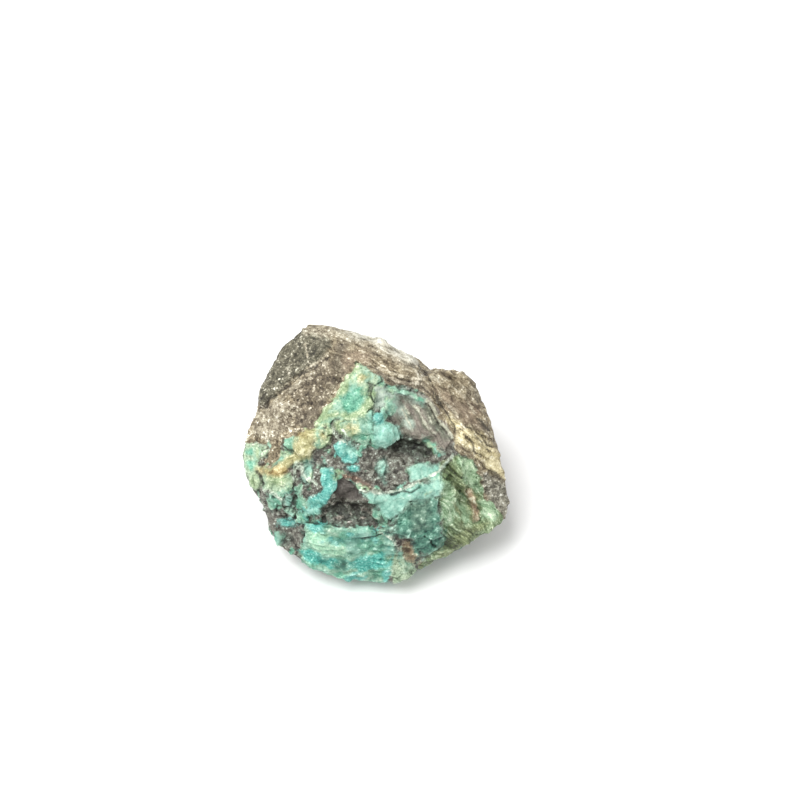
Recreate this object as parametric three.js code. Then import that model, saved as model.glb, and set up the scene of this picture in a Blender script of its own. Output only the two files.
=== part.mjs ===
// A palm-sized chrysocolla specimen: one broken lump of brown host rock whose best face carries a crust of
// turquoise and green chrysocolla over dark matrix. It is a single natural stone, so it is a single mesh.
//
// The stone is worked out in the frame of that face: x to the right, y up the face, and "out" away from it.
// A closed outline bounds the face, flat breaks fall away from it at the front and at the back, and lumps,
// hollows, ledges, ridges and cracks are added to the front. The face is then leaned back, and the stone is
// cut off flat where it rests. Row frame: millimetres, +Z up, the origin under the middle of the stone.
import * as THREE from "three";
import { mergeVertices } from "three/addons/utils/BufferGeometryUtils.js";

// Driving dimensions, in millimetres and degrees.
const FACE_LEAN = 60; // elevation at which the face looks up
const REST_DEPTH = 19.5; // height of the outline's centre above the surface the stone rests on
const FRONT_BULGE = 21; // how far the rounded body reaches out of the outline's plane
const BACK_BULGE = 26; // and behind it
const BODY_SQUARENESS = 2.5; // 2 is an ellipse in section, more is boxier
const EDGE_WEAR = 0.7; // how far the edge between two breaks is rounded off
const CUT_WEAR = 0.8; // and the edges of the hollows
const STEP_WIDTH = 1.7; // width over which a ledge rises
const RELIEF_RISE = 4; // height above the outline's plane at which the face's relief is at its full depth
const CHIPS = [{ spacing: 9, height: 1.3 }, { spacing: 4.2, height: 0.5 }]; // small broken planes all over
const OUTLINE_CALM = 0.35; // share of the chips' height that is left on the outline itself
const CALM_WIDTH = 6; // how far from the outline's plane it has grown to the whole
const WAVER = [{ spacing: 6.5, reach: 1.1 }, { spacing: 2.6, reach: 0.5 }]; // in every edge of the relief
const FACE_CROWDING = 0.4; // how much closer the mesh is on the face than behind it
const MESH_DETAIL = 21; // splits of each icosahedron edge, less one

// The outline of the face, corner by corner and anticlockwise from the right, as [x, y].
const OUTLINE = [
  [30.5, 0], [29, 5.5], [26.5, 12.5], [24.8, 17], [21.8, 20], [17.2, 20.8], [13, 20.5], [11.2, 21.5],
  [9, 23.8], [4.8, 26], [0, 28.7], [-7, 30.2], [-12, 31.2], [-17, 31.8], [-22.4, 27.2], [-26, 21.8],
  [-29.2, 15.5], [-29.6, 10.2], [-31.2, 5.2], [-33, -0.8], [-32.2, -6], [-29.6, -11], [-27.8, -13],
  [-27.6, -15.5], [-26.5, -19.5], [-23.2, -24], [-16.5, -28.5], [-6.5, -31.5], [5.5, -32], [8.5, -30.5],
  [16, -26.2], [28.5, -19.3], [31.8, -17], [33, -12], [31.2, -6],
];

// Flat breaks: each lies at a height where it starts, and falls by its slope in the direction it faces.
const FRONT_BREAKS = [
  { faces: 129, start: 26.7, height: 8.6, slope: 0.95 }, // dark shoulder, top left
  { faces: 138, start: 16, height: 12.4, slope: 0.36 }, // brown slope beside the crust
  { faces: 78, start: 22, height: 12, slope: 0.9 }, // band along the top
  { faces: 35, start: 17, height: 12.6, slope: 0.62 }, // foliated slope on the right
  { faces: 100, start: 0, height: 16, slope: 0.16 }, // upper crust
  { faces: 185, start: 5, height: 15.6, slope: 0.28 }, // left half of the crust
  { faces: 270, start: 8, height: 15.4, slope: 0.3 }, // lower crust
  { faces: 265, start: 20, height: 11.8, slope: 0.75 }, // foot of the shelf
  { faces: 345, start: 15.5, height: 13.4, slope: 0.6 }, // green break, lower right
  { faces: 300, start: 24, height: 9.5, slope: 0.85 },
  { faces: 215, start: 23, height: 9.5, slope: 0.85 },
  { faces: 180, start: 24, height: 9.2, slope: 0.7 },
];
const BACK_BREAKS = [
  { faces: 30, start: 0, height: 25, slope: 0.12 },
  { faces: 90, start: 4, height: 22, slope: 0.68 },
  { faces: 2, start: 9, height: 21, slope: 0.8 },
  { faces: 178, start: 8, height: 20, slope: 0.62 },
  { faces: 48, start: 15, height: 17, slope: 1.05 },
  { faces: 137, start: 17, height: 15.5, slope: 0.85 },
  { faces: 232, start: 18, height: 16, slope: 0.9 },
  { faces: 310, start: 19, height: 15.5, slope: 0.95 },
];

// Hollows broken into the face. Each is a list of walls, and a wall rises by its slope in one direction.
const CUTS = [
  [ // grey slab
    { rises: 50, start: 7.2, height: 10.4, slope: 0.13 },
    { rises: 158, start: -3.2, height: 10.4, slope: 0.9 },
    { rises: 262, start: -2.4, height: 9.2, slope: 0.68 },
    { rises: 352, start: 14.5, height: 10.2, slope: 0.8 },
    { rises: 82, start: 13.4, height: 11.6, slope: 1.1 },
  ],
  [ // granular floor below it
    { rises: 98, start: 1.6, height: 10.6, slope: 1.4 },
    { rises: 262, start: -2.4, height: 9.2, slope: 0.68 },
    { rises: 185, start: -2, height: 11, slope: 0.42 },
    { rises: 352, start: 14.5, height: 10.2, slope: 0.8 },
  ],
  [ // trench between the two
    { rises: 76, start: 3.6, height: 7.8, slope: 2 },
    { rises: 262, start: -2.4, height: 8, slope: 0.8 },
    { rises: 170, start: -5, height: 8, slope: 1.3 },
    { rises: 350, start: 13.2, height: 8, slope: 1.3 },
  ],
  [ // hollow over the shelf
    { rises: 92, start: -14, height: 9.6, slope: 1.9 },
    { rises: 268, start: 13, height: 9.4, slope: 0.42 },
    { rises: 176, start: 11, height: 9.8, slope: 1.5 },
    { rises: 4, start: -3, height: 9.8, slope: 0.7 },
  ],
  [ // smooth arm that runs down into it
    { rises: 90, start: -12, height: 11.8, slope: 0.35 },
    { rises: 175, start: 8.5, height: 12.6, slope: 1.6 },
    { rises: 350, start: -5, height: 12.6, slope: 0.7 },
    { rises: 270, start: 13, height: 10.4, slope: 0.42 },
  ],
];

// Lumps (positive) and dips (negative): a middle, two radii, the turn of the first, a height, and the share
// of the radius that lies flat before the side begins.
const MOUNDS = [
  { at: [2.2, 4.4], radii: [4.2, 3.4], turn: 15, height: 1.9, flat: 0.35 }, // bright lump
  { at: [0.2, 8.6], radii: [3.4, 3], turn: 0, height: 1.2, flat: 0.2 },
  { at: [-10.6, 1.2], radii: [3.4, 2.8], turn: -20, height: 0.8, flat: 0.3 },
  { at: [-12.6, -8.6], radii: [2.8, 6.2], turn: 4, height: 1.2, flat: 0.3 }, // turquoise pillar
  { at: [-22.8, 11], radii: [5.6, 3.2], turn: 12, height: 1.2, flat: 0.2 },
  { at: [-17.5, 2.4], radii: [2.7, 4.8], turn: -20, height: 1.1, flat: 0.2 }, // cream ridge
  { at: [-22.4, -20], radii: [5.2, 4.4], turn: -35, height: -1.4, flat: 0.3 },
  { at: [21.2, -3.6], radii: [2.4, 5.6], turn: 22, height: 1.5, flat: 0.2 }, // green rib
  { at: [7.6, -23.6], radii: [3.8, 2], turn: -55, height: -1.2, flat: 0.2 }, // rusty pit
];

// Steps: the ground on a path's left hand stands higher, and fades back over a distance.
const LEDGES = [
  { path: [[19.5, -2], [13.5, -7.8], [5, -9.6], [-7.8, -6.4]], height: 0.7, fade: 5 }, // rim of the bowl
  { path: [[5.4, -18], [-2.8, -20.1], [-11.5, -19.1], [-18, -17.4]], height: 1.6, fade: 4 }, // shelf
  { path: [[4.6, 17.6], [-4.8, 22.4], [-15.6, 6], [-19.4, 0.8], [-28, -4.6]], height: 1.3, fade: 5 }, // crust
  { path: [[14.4, 15.5], [11, 22.8]], height: 1.7, fade: 5 }, // notch in the top edge
];

// Grooves (negative) and ribs (positive) along a path.
const LINES = [
  { path: [[-18.2, -8.5], [-18.2, -16.3], [-12.6, -16.8]], width: 0.9, height: -1.1 },
  { path: [[-28.5, 11.2], [-21.3, 17.2], [-17, 20.4], [-13.3, 23.3], [-8, 28]], width: 1, height: -0.8 },
  { path: [[17.6, -4], [21, -11.5], [26, -17.5]], width: 1.4, height: -1.5 },
  { path: [[15.4, -6], [15.4, -22]], width: 1.3, height: 0.6 },
  { path: [[13.5, 15], [20.5, 8], [27, -1]], width: 1, height: 0.8 },
];

const COLOUR = 0x6f9c8c; // the crust and the rock together, seen from afar
const { cos, sin, hypot, atan2, exp, pow, abs, min, max, floor, PI } = Math;
const radians = (degrees) => (degrees * PI) / 180;

// The lattice corners round a point, the lattice cells near it, and how their chips are shaped.
const NEAR_CORNERS = [0, 1].flatMap((a) => [0, 1].flatMap((b) => [0, 1].map((c) => [a, b, c])));
const NEAR_CELLS = [-1, 0, 1].flatMap((a) => [-1, 0, 1].flatMap((b) => [-1, 0, 1].map((c) => [a, b, c])));
const JITTER = 0.4; // how far a chip's middle strays from its cell's, as a share of the spacing
const CHIP_SHARPNESS = 14; // how sharp the edges between chips are
const STEP_SHARE = 0.45; // how far chips stand above or below each other, against how far they tilt

// A smooth step from 0 to 1.
const ease = (t) => {
  const clipped = min(max(t, 0), 1);
  return clipped * clipped * (3 - 2 * clipped);
};

// The lesser of two lengths, with the corner between them rounded off over the given width.
const wornMin = (a, b, width) => {
  const share = max(width - abs(a - b), 0) / width;
  return min(a, b) - (share * share * width) / 4;
};

// How far the outline lies from its centre in a direction.
const corners = OUTLINE.map(([x, y]) => ({ x, y, angle: (atan2(y, x) + 2 * PI) % (2 * PI) }));
function outlineReach(angle) {
  const turned = (angle + 2 * PI) % (2 * PI);
  let after = corners.findIndex((corner) => corner.angle > turned);
  if (after < 0) after = 0;
  const b = corners[after];
  const a = corners[(after + corners.length - 1) % corners.length];
  const across = cos(turned) * (b.y - a.y) - sin(turned) * (b.x - a.x);
  return (a.x * b.y - a.y * b.x) / across;
}

// How far a point lies in a direction of the face.
const heading = (x, y, degrees) => x * cos(radians(degrees)) + y * sin(radians(degrees));

// The distance from a point to a path's nearest leg, and how far it lies to the left of that leg's line.
function besidePath(x, y, path) {
  let nearest = { distance: Infinity, left: 0 };
  for (let i = 0; i + 1 < path.length; i++) {
    const [ax, ay] = path[i];
    const [dx, dy] = [path[i + 1][0] - ax, path[i + 1][1] - ay];
    const share = ((x - ax) * dx + (y - ay) * dy) / (dx * dx + dy * dy);
    const t = min(max(share, 0), 1);
    const distance = hypot(x - ax - t * dx, y - ay - t * dy);
    if (distance < nearest.distance) {
      nearest = { distance, left: (dx * (y - ay) - dy * (x - ax)) / hypot(dx, dy) };
    }
  }
  return nearest;
}

// A fixed random value from -1 to 1 at a corner of a lattice, one for each stream.
const randomAt = (i, j, k, stream) => {
  const wave = sin(i * 127.1 + j * 311.7 + k * 74.7 + stream * 53.3) * 43758.5453;
  return 2 * (wave - floor(wave)) - 1;
};

// Random values at the corners of a lattice, eased between the eight corners round a point.
function waves({ x, y, z }, spacing, stream) {
  const [i, j, k] = [floor(x / spacing), floor(y / spacing), floor(z / spacing)];
  const [u, v, w] = [ease(x / spacing - i), ease(y / spacing - j), ease(z / spacing - k)];
  let total = 0;
  for (const [a, b, c] of NEAR_CORNERS) {
    total += (a ? u : 1 - u) * (b ? v : 1 - v) * (c ? w : 1 - w) * randomAt(i + a, j + b, k + c, stream);
  }
  return total;
}

// Broken planes: each cell of a jittered lattice has a height and a tilt, and the nearest are blended.
function chips({ x, y, z }, spacing) {
  const [px, py, pz] = [x / spacing, y / spacing, z / spacing];
  let total = 0;
  let weights = 0;
  for (const [a, b, c] of NEAR_CELLS) {
    const cell = [floor(px) + a, floor(py) + b, floor(pz) + c];
    const dx = px - cell[0] - 0.5 - JITTER * randomAt(...cell, 1);
    const dy = py - cell[1] - 0.5 - JITTER * randomAt(...cell, 2);
    const dz = pz - cell[2] - 0.5 - JITTER * randomAt(...cell, 3);
    const tilt = randomAt(...cell, 4) * dx + randomAt(...cell, 5) * dy + randomAt(...cell, 6) * dz;
    const weight = exp(-CHIP_SHARPNESS * (dx * dx + dy * dy + dz * dz));
    total += weight * (STEP_SHARE * randomAt(...cell, 7) + tilt);
    weights += weight;
  }
  return total / weights;
}

// How high the hollows leave the face: the lowest of them, and each is the highest of its walls.
function cutHeight(x, y) {
  const floors = CUTS.map((walls) => {
    const heights = walls.map((wall) => wall.height + wall.slope * (heading(x, y, wall.rises) - wall.start));
    return heights.reduce((deep, height) => -wornMin(-deep, -height, CUT_WEAR));
  });
  return min(...floors);
}

// The relief that the mounds, ledges and lines add to the face.
function reliefAt(x, y) {
  let height = 0;
  for (const { at, radii, turn, height: top, flat } of MOUNDS) {
    const along = heading(x - at[0], y - at[1], turn) / radii[0];
    const across = heading(x - at[0], y - at[1], turn + 90) / radii[1];
    height += top * ease((1 - hypot(along, across)) / (1 - flat));
  }
  for (const { path, height: top, fade } of LEDGES) {
    const { distance, left } = besidePath(x, y, path);
    height += top * ease(left / STEP_WIDTH + 0.5) * exp(-pow(distance / fade, 2));
  }
  for (const { path, width, height: top } of LINES) {
    height += top * exp(-pow(besidePath(x, y, path).distance / width, 2));
  }
  return height;
}

// How far the bare form reaches from its centre in a direction of the face's frame: the rounded body inside
// the outline, cut by every break that the direction meets, with the edges between them worn.
function bareReach(ray) {
  const bulge = ray.z > 0 ? FRONT_BULGE : BACK_BULGE;
  const across = pow(hypot(ray.x, ray.y) / outlineReach(atan2(ray.y, ray.x)), BODY_SQUARENESS);
  let length = pow(across + pow(abs(ray.z) / bulge, BODY_SQUARENESS), -1 / BODY_SQUARENESS);
  for (const { faces, start, height, slope } of ray.z > 0 ? FRONT_BREAKS : BACK_BREAKS) {
    const towards = slope * heading(ray.x, ray.y, faces) + abs(ray.z);
    if (towards > 0) length = wornMin(length, (height + slope * start) / towards, EDGE_WEAR);
  }
  return length;
}

// A point of the stone's skin in the face's frame: the bare form, chipped along the ray, with the hollows and
// the relief moved straight out of the face and dying away towards the outline.
function skin(ray) {
  const point = ray.clone().multiplyScalar(bareReach(ray));
  const calm = OUTLINE_CALM + (1 - OUTLINE_CALM) * ease(abs(point.z) / CALM_WIDTH);
  const rough = CHIPS.reduce((sum, { spacing, height }) => sum + height * chips(point, spacing), 0);
  let raised = 0;
  if (point.z > 0) {
    const x = WAVER.reduce((sum, { spacing, reach }) => sum + reach * waves(point, spacing, 11), point.x);
    const y = WAVER.reduce((sum, { spacing, reach }) => sum + reach * waves(point, spacing, 12), point.y);
    raised = wornMin(point.z, cutHeight(x, y), CUT_WEAR) - point.z + reliefAt(x, y);
    raised *= ease(point.z / RELIEF_RISE);
  }
  point.addScaledVector(ray, calm * rough);
  point.z += raised;
  return point;
}

function stoneGeometry() {
  const sphere = new THREE.IcosahedronGeometry(1, MESH_DETAIL);
  sphere.deleteAttribute("normal");
  sphere.deleteAttribute("uv");
  const geometry = mergeVertices(sphere);
  const position = geometry.getAttribute("position");
  const lean = radians(FACE_LEAN - 90); // turns "out" from straight up to the face's elevation
  const ray = new THREE.Vector3();
  for (let i = 0; i < position.count; i++) {
    ray.fromBufferAttribute(position, i);
    ray.z += FACE_CROWDING;
    ray.normalize();
    const point = skin(ray).applyAxisAngle(new THREE.Vector3(1, 0, 0), -lean);
    if (point.z < -REST_DEPTH) point.multiplyScalar(-REST_DEPTH / point.z); // back along its ray to the cut
    position.setXYZ(i, point.x, point.y, max(point.z + REST_DEPTH, 0));
  }
  geometry.computeBoundingBox();
  const { min: low, max: high } = geometry.boundingBox;
  geometry.translate(-(low.x + high.x) / 2, -(low.y + high.y) / 2, 0);
  geometry.computeVertexNormals();
  return geometry;
}

const stone = new THREE.Mesh(
  stoneGeometry(),
  new THREE.MeshStandardMaterial({ color: COLOUR, roughness: 0.75, metalness: 0, flatShading: true }),
);
stone.name = "stone";

const specimen = new THREE.Group();
specimen.name = "chrysocolla_specimen";
specimen.add(stone);
export default specimen;
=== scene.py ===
# A chrysocolla specimen: one broken lump of brown host rock with a turquoise and green crust, lying on a flat
# break. The stone is worked out in the frame of its crusted face, in millimetres: x to the right, y up the
# face and z out of it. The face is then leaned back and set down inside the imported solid.
import itertools
import bpy
import numpy as np
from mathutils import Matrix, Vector


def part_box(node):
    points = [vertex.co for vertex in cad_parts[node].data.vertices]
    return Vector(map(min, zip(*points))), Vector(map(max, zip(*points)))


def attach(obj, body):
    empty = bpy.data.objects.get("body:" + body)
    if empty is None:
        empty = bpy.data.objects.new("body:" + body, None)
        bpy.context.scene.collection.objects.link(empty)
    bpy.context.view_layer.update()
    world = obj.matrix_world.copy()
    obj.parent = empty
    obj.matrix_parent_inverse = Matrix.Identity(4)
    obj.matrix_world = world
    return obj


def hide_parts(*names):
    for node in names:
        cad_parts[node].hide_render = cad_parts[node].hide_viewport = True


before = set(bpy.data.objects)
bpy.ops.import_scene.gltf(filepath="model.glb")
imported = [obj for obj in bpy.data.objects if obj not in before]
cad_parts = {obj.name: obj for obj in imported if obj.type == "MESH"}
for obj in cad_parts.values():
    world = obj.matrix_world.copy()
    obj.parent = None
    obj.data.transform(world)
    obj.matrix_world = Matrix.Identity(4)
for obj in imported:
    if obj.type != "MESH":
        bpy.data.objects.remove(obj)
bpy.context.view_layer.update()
mm = 0.001  # the lengths below are millimetres, and Blender's are metres

stone = {
    "faceLean": 60,  # elevation at which the face looks up
    "restDepth": 19.5,  # height of the outline's centre above the surface it rests on
    "frontBulge": 21,  # how far the rounded body reaches out of the outline's plane
    "backBulge": 26,  # and behind it
    "squareness": 2.5,  # 2 is an ellipse in section, more is boxier
    "edgeWear": 0.7,  # how far the edge between two breaks is rounded off
    "cutWear": 0.8,  # and the edges of the hollows
    "stepWidth": 0.9,  # width over which a ledge rises
    "reliefRise": 4,  # height above the outline's plane at which the relief is at its full depth
    "crowding": 0.4,  # how much closer the mesh is on the face than behind it
    "detail": 128,  # squares along each side of the six grids that close round the stone
    # [x, y] of the outline's corners, anticlockwise from the right
    "outline": [
        (30.5, 0), (29, 5.5), (26.5, 12.5), (24.8, 17), (21.8, 20), (17.2, 20.8), (13, 20.5), (11.2, 21.5),
        (9, 23.8), (4.8, 26), (0, 28.7), (-7, 30.2), (-12, 31.2), (-17, 31.8), (-22.4, 27.2), (-26, 21.8),
        (-29.2, 15.5), (-29.6, 10.2), (-31.2, 5.2), (-33, -0.8), (-32.2, -6), (-29.6, -11), (-27.8, -13),
        (-27.6, -15.5), (-26.5, -19.5), (-23.2, -24), (-16.5, -28.5), (-6.5, -31.5), (5.5, -32), (8.5, -30.5),
        (16, -26.2), (28.5, -19.3), (31.8, -17), (33, -12), (31.2, -6),
    ],
    # flat breaks: the direction each faces, where it starts, its height there, and its slope
    "frontBreaks": [
        (129, 26.7, 8.6, 0.95),  # dark shoulder, top left
        (138, 16, 12.4, 0.36),  # brown slope beside the crust
        (78, 22, 12, 0.9),  # band along the top
        (35, 17, 12.6, 0.62),  # foliated slope on the right
        (100, 0, 16, 0.16),  # upper crust
        (185, 5, 15.6, 0.28),  # left half of the crust
        (270, 8, 15.4, 0.3),  # lower crust
        (265, 20, 11.8, 0.75),  # foot of the shelf
        (345, 15.5, 13.4, 0.6),  # green break, lower right
        (300, 24, 9.5, 0.85),
        (215, 23, 9.5, 0.85),
        (180, 24, 9.2, 0.7),
    ],
    "backBreaks": [
        (30, 0, 25, 0.12), (90, 4, 22, 0.68), (2, 9, 21, 0.8), (178, 8, 20, 0.62),
        (48, 15, 17, 1.05), (137, 17, 15.5, 0.85), (232, 18, 16, 0.9), (310, 19, 15.5, 0.95),
    ],
    # hollows broken into the face, each with its walls: the direction in which a wall rises, then as above
    "cuts": [
        [(50, 7.2, 10.4, 0.13), (158, -3.2, 10.4, 0.9), (262, -2.4, 9.2, 0.68), (352, 14.5, 10.2, 0.8),
         (82, 13.4, 11.6, 1.1)],  # grey slab
        [(98, 1.6, 10.6, 1.4), (262, -2.4, 9.2, 0.68), (185, -2, 11, 0.42), (352, 14.5, 10.2, 0.8)],  # floor
        [(76, 3.6, 7.8, 2), (262, -2.4, 8, 0.8), (170, -5, 8, 1.3), (350, 13.2, 8, 1.3)],  # trench between
        [(92, -14, 9.6, 1.9), (268, 13, 9.4, 0.42), (176, 11, 9.8, 1.5), (4, -3, 9.8, 0.7)],  # over the shelf
        [(90, -12, 11.8, 0.35), (175, 8.5, 12.6, 1.6), (350, -5, 12.6, 0.7), (270, 13, 10.4, 0.42)],  # arm
    ],
    # lumps and hollows: middle, two radii, turn of the first, height, share of the radius that lies flat
    "mounds": [
        ((2.2, 4.4), (4.2, 3.4), 15, 1.9, 0.35),  # bright lump
        ((0.2, 8.6), (3.4, 3), 0, 1.2, 0.2),
        ((-10.6, 1.2), (3.4, 2.8), -20, 0.8, 0.3),
        ((-12.6, -8.6), (2.8, 6.2), 4, 1.2, 0.3),  # turquoise pillar
        ((-22.8, 11), (5.6, 3.2), 12, 1.2, 0.2),
        ((-17.5, 2.4), (2.7, 4.8), -20, 1.1, 0.2),  # cream ridge
        ((-22.4, -20), (5.2, 4.4), -35, -1.4, 0.3),
        ((21.2, -3.6), (2.4, 5.6), 22, 1.5, 0.2),  # green rib
        ((7.6, -23.6), (3.8, 2), -55, -1.2, 0.2),  # rusty pit
    ],
    # steps: the ground on a path's left hand stands higher, and fades back over a distance
    "ledges": [
        ([(19.5, -2), (13.5, -7.8), (5, -9.6), (-7.8, -6.4)], 0.7, 5),  # rim of the bowl
        ([(5.4, -17.4), (-2.8, -19.4), (-11.5, -18.4), (-18, -16.8)], 1.6, 4),  # shelf
        ([(4.6, 17.6), (-4.8, 22.4), (-15.6, 6), (-19.4, 0.8), (-28, -4.6)], 1.3, 5),  # crust
        ([(14.4, 15.5), (11, 22.8)], 1.7, 5),  # notch in the top edge
    ],
    # grooves and ribs: a path, a width and a height
    "lines": [
        ([(-18.2, -8.5), (-18.2, -16.3), (-12.6, -16.8)], 0.7, -1.1),
        ([(-28.5, 11.2), (-21.3, 17.2), (-17, 20.4), (-13.3, 23.3), (-8, 28)], 0.7, -0.8),
        ([(17.6, -4), (21, -11.5), (26, -17.5)], 1.2, -1.5),
        ([(15.4, -6), (15.4, -22)], 1.3, 0.6),
        ([(13.5, 15), (20.5, 8), (27, -1)], 1, 0.8),
    ],
    # chipped planes at several sizes: spacing and height
    "chips": [(9, 1.3), (4.2, 0.5), (1.9, 0.22)],
    # waver in every edge of the relief: spacing, reach and stream of random values
    "warp": [(6.5, 1.1, 11), (2.6, 0.5, 11)],
    "outlineCalm": 0.35,  # share of the chips that is left on the outline itself
    "calmWidth": 6,  # height over which they come back
}

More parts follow.
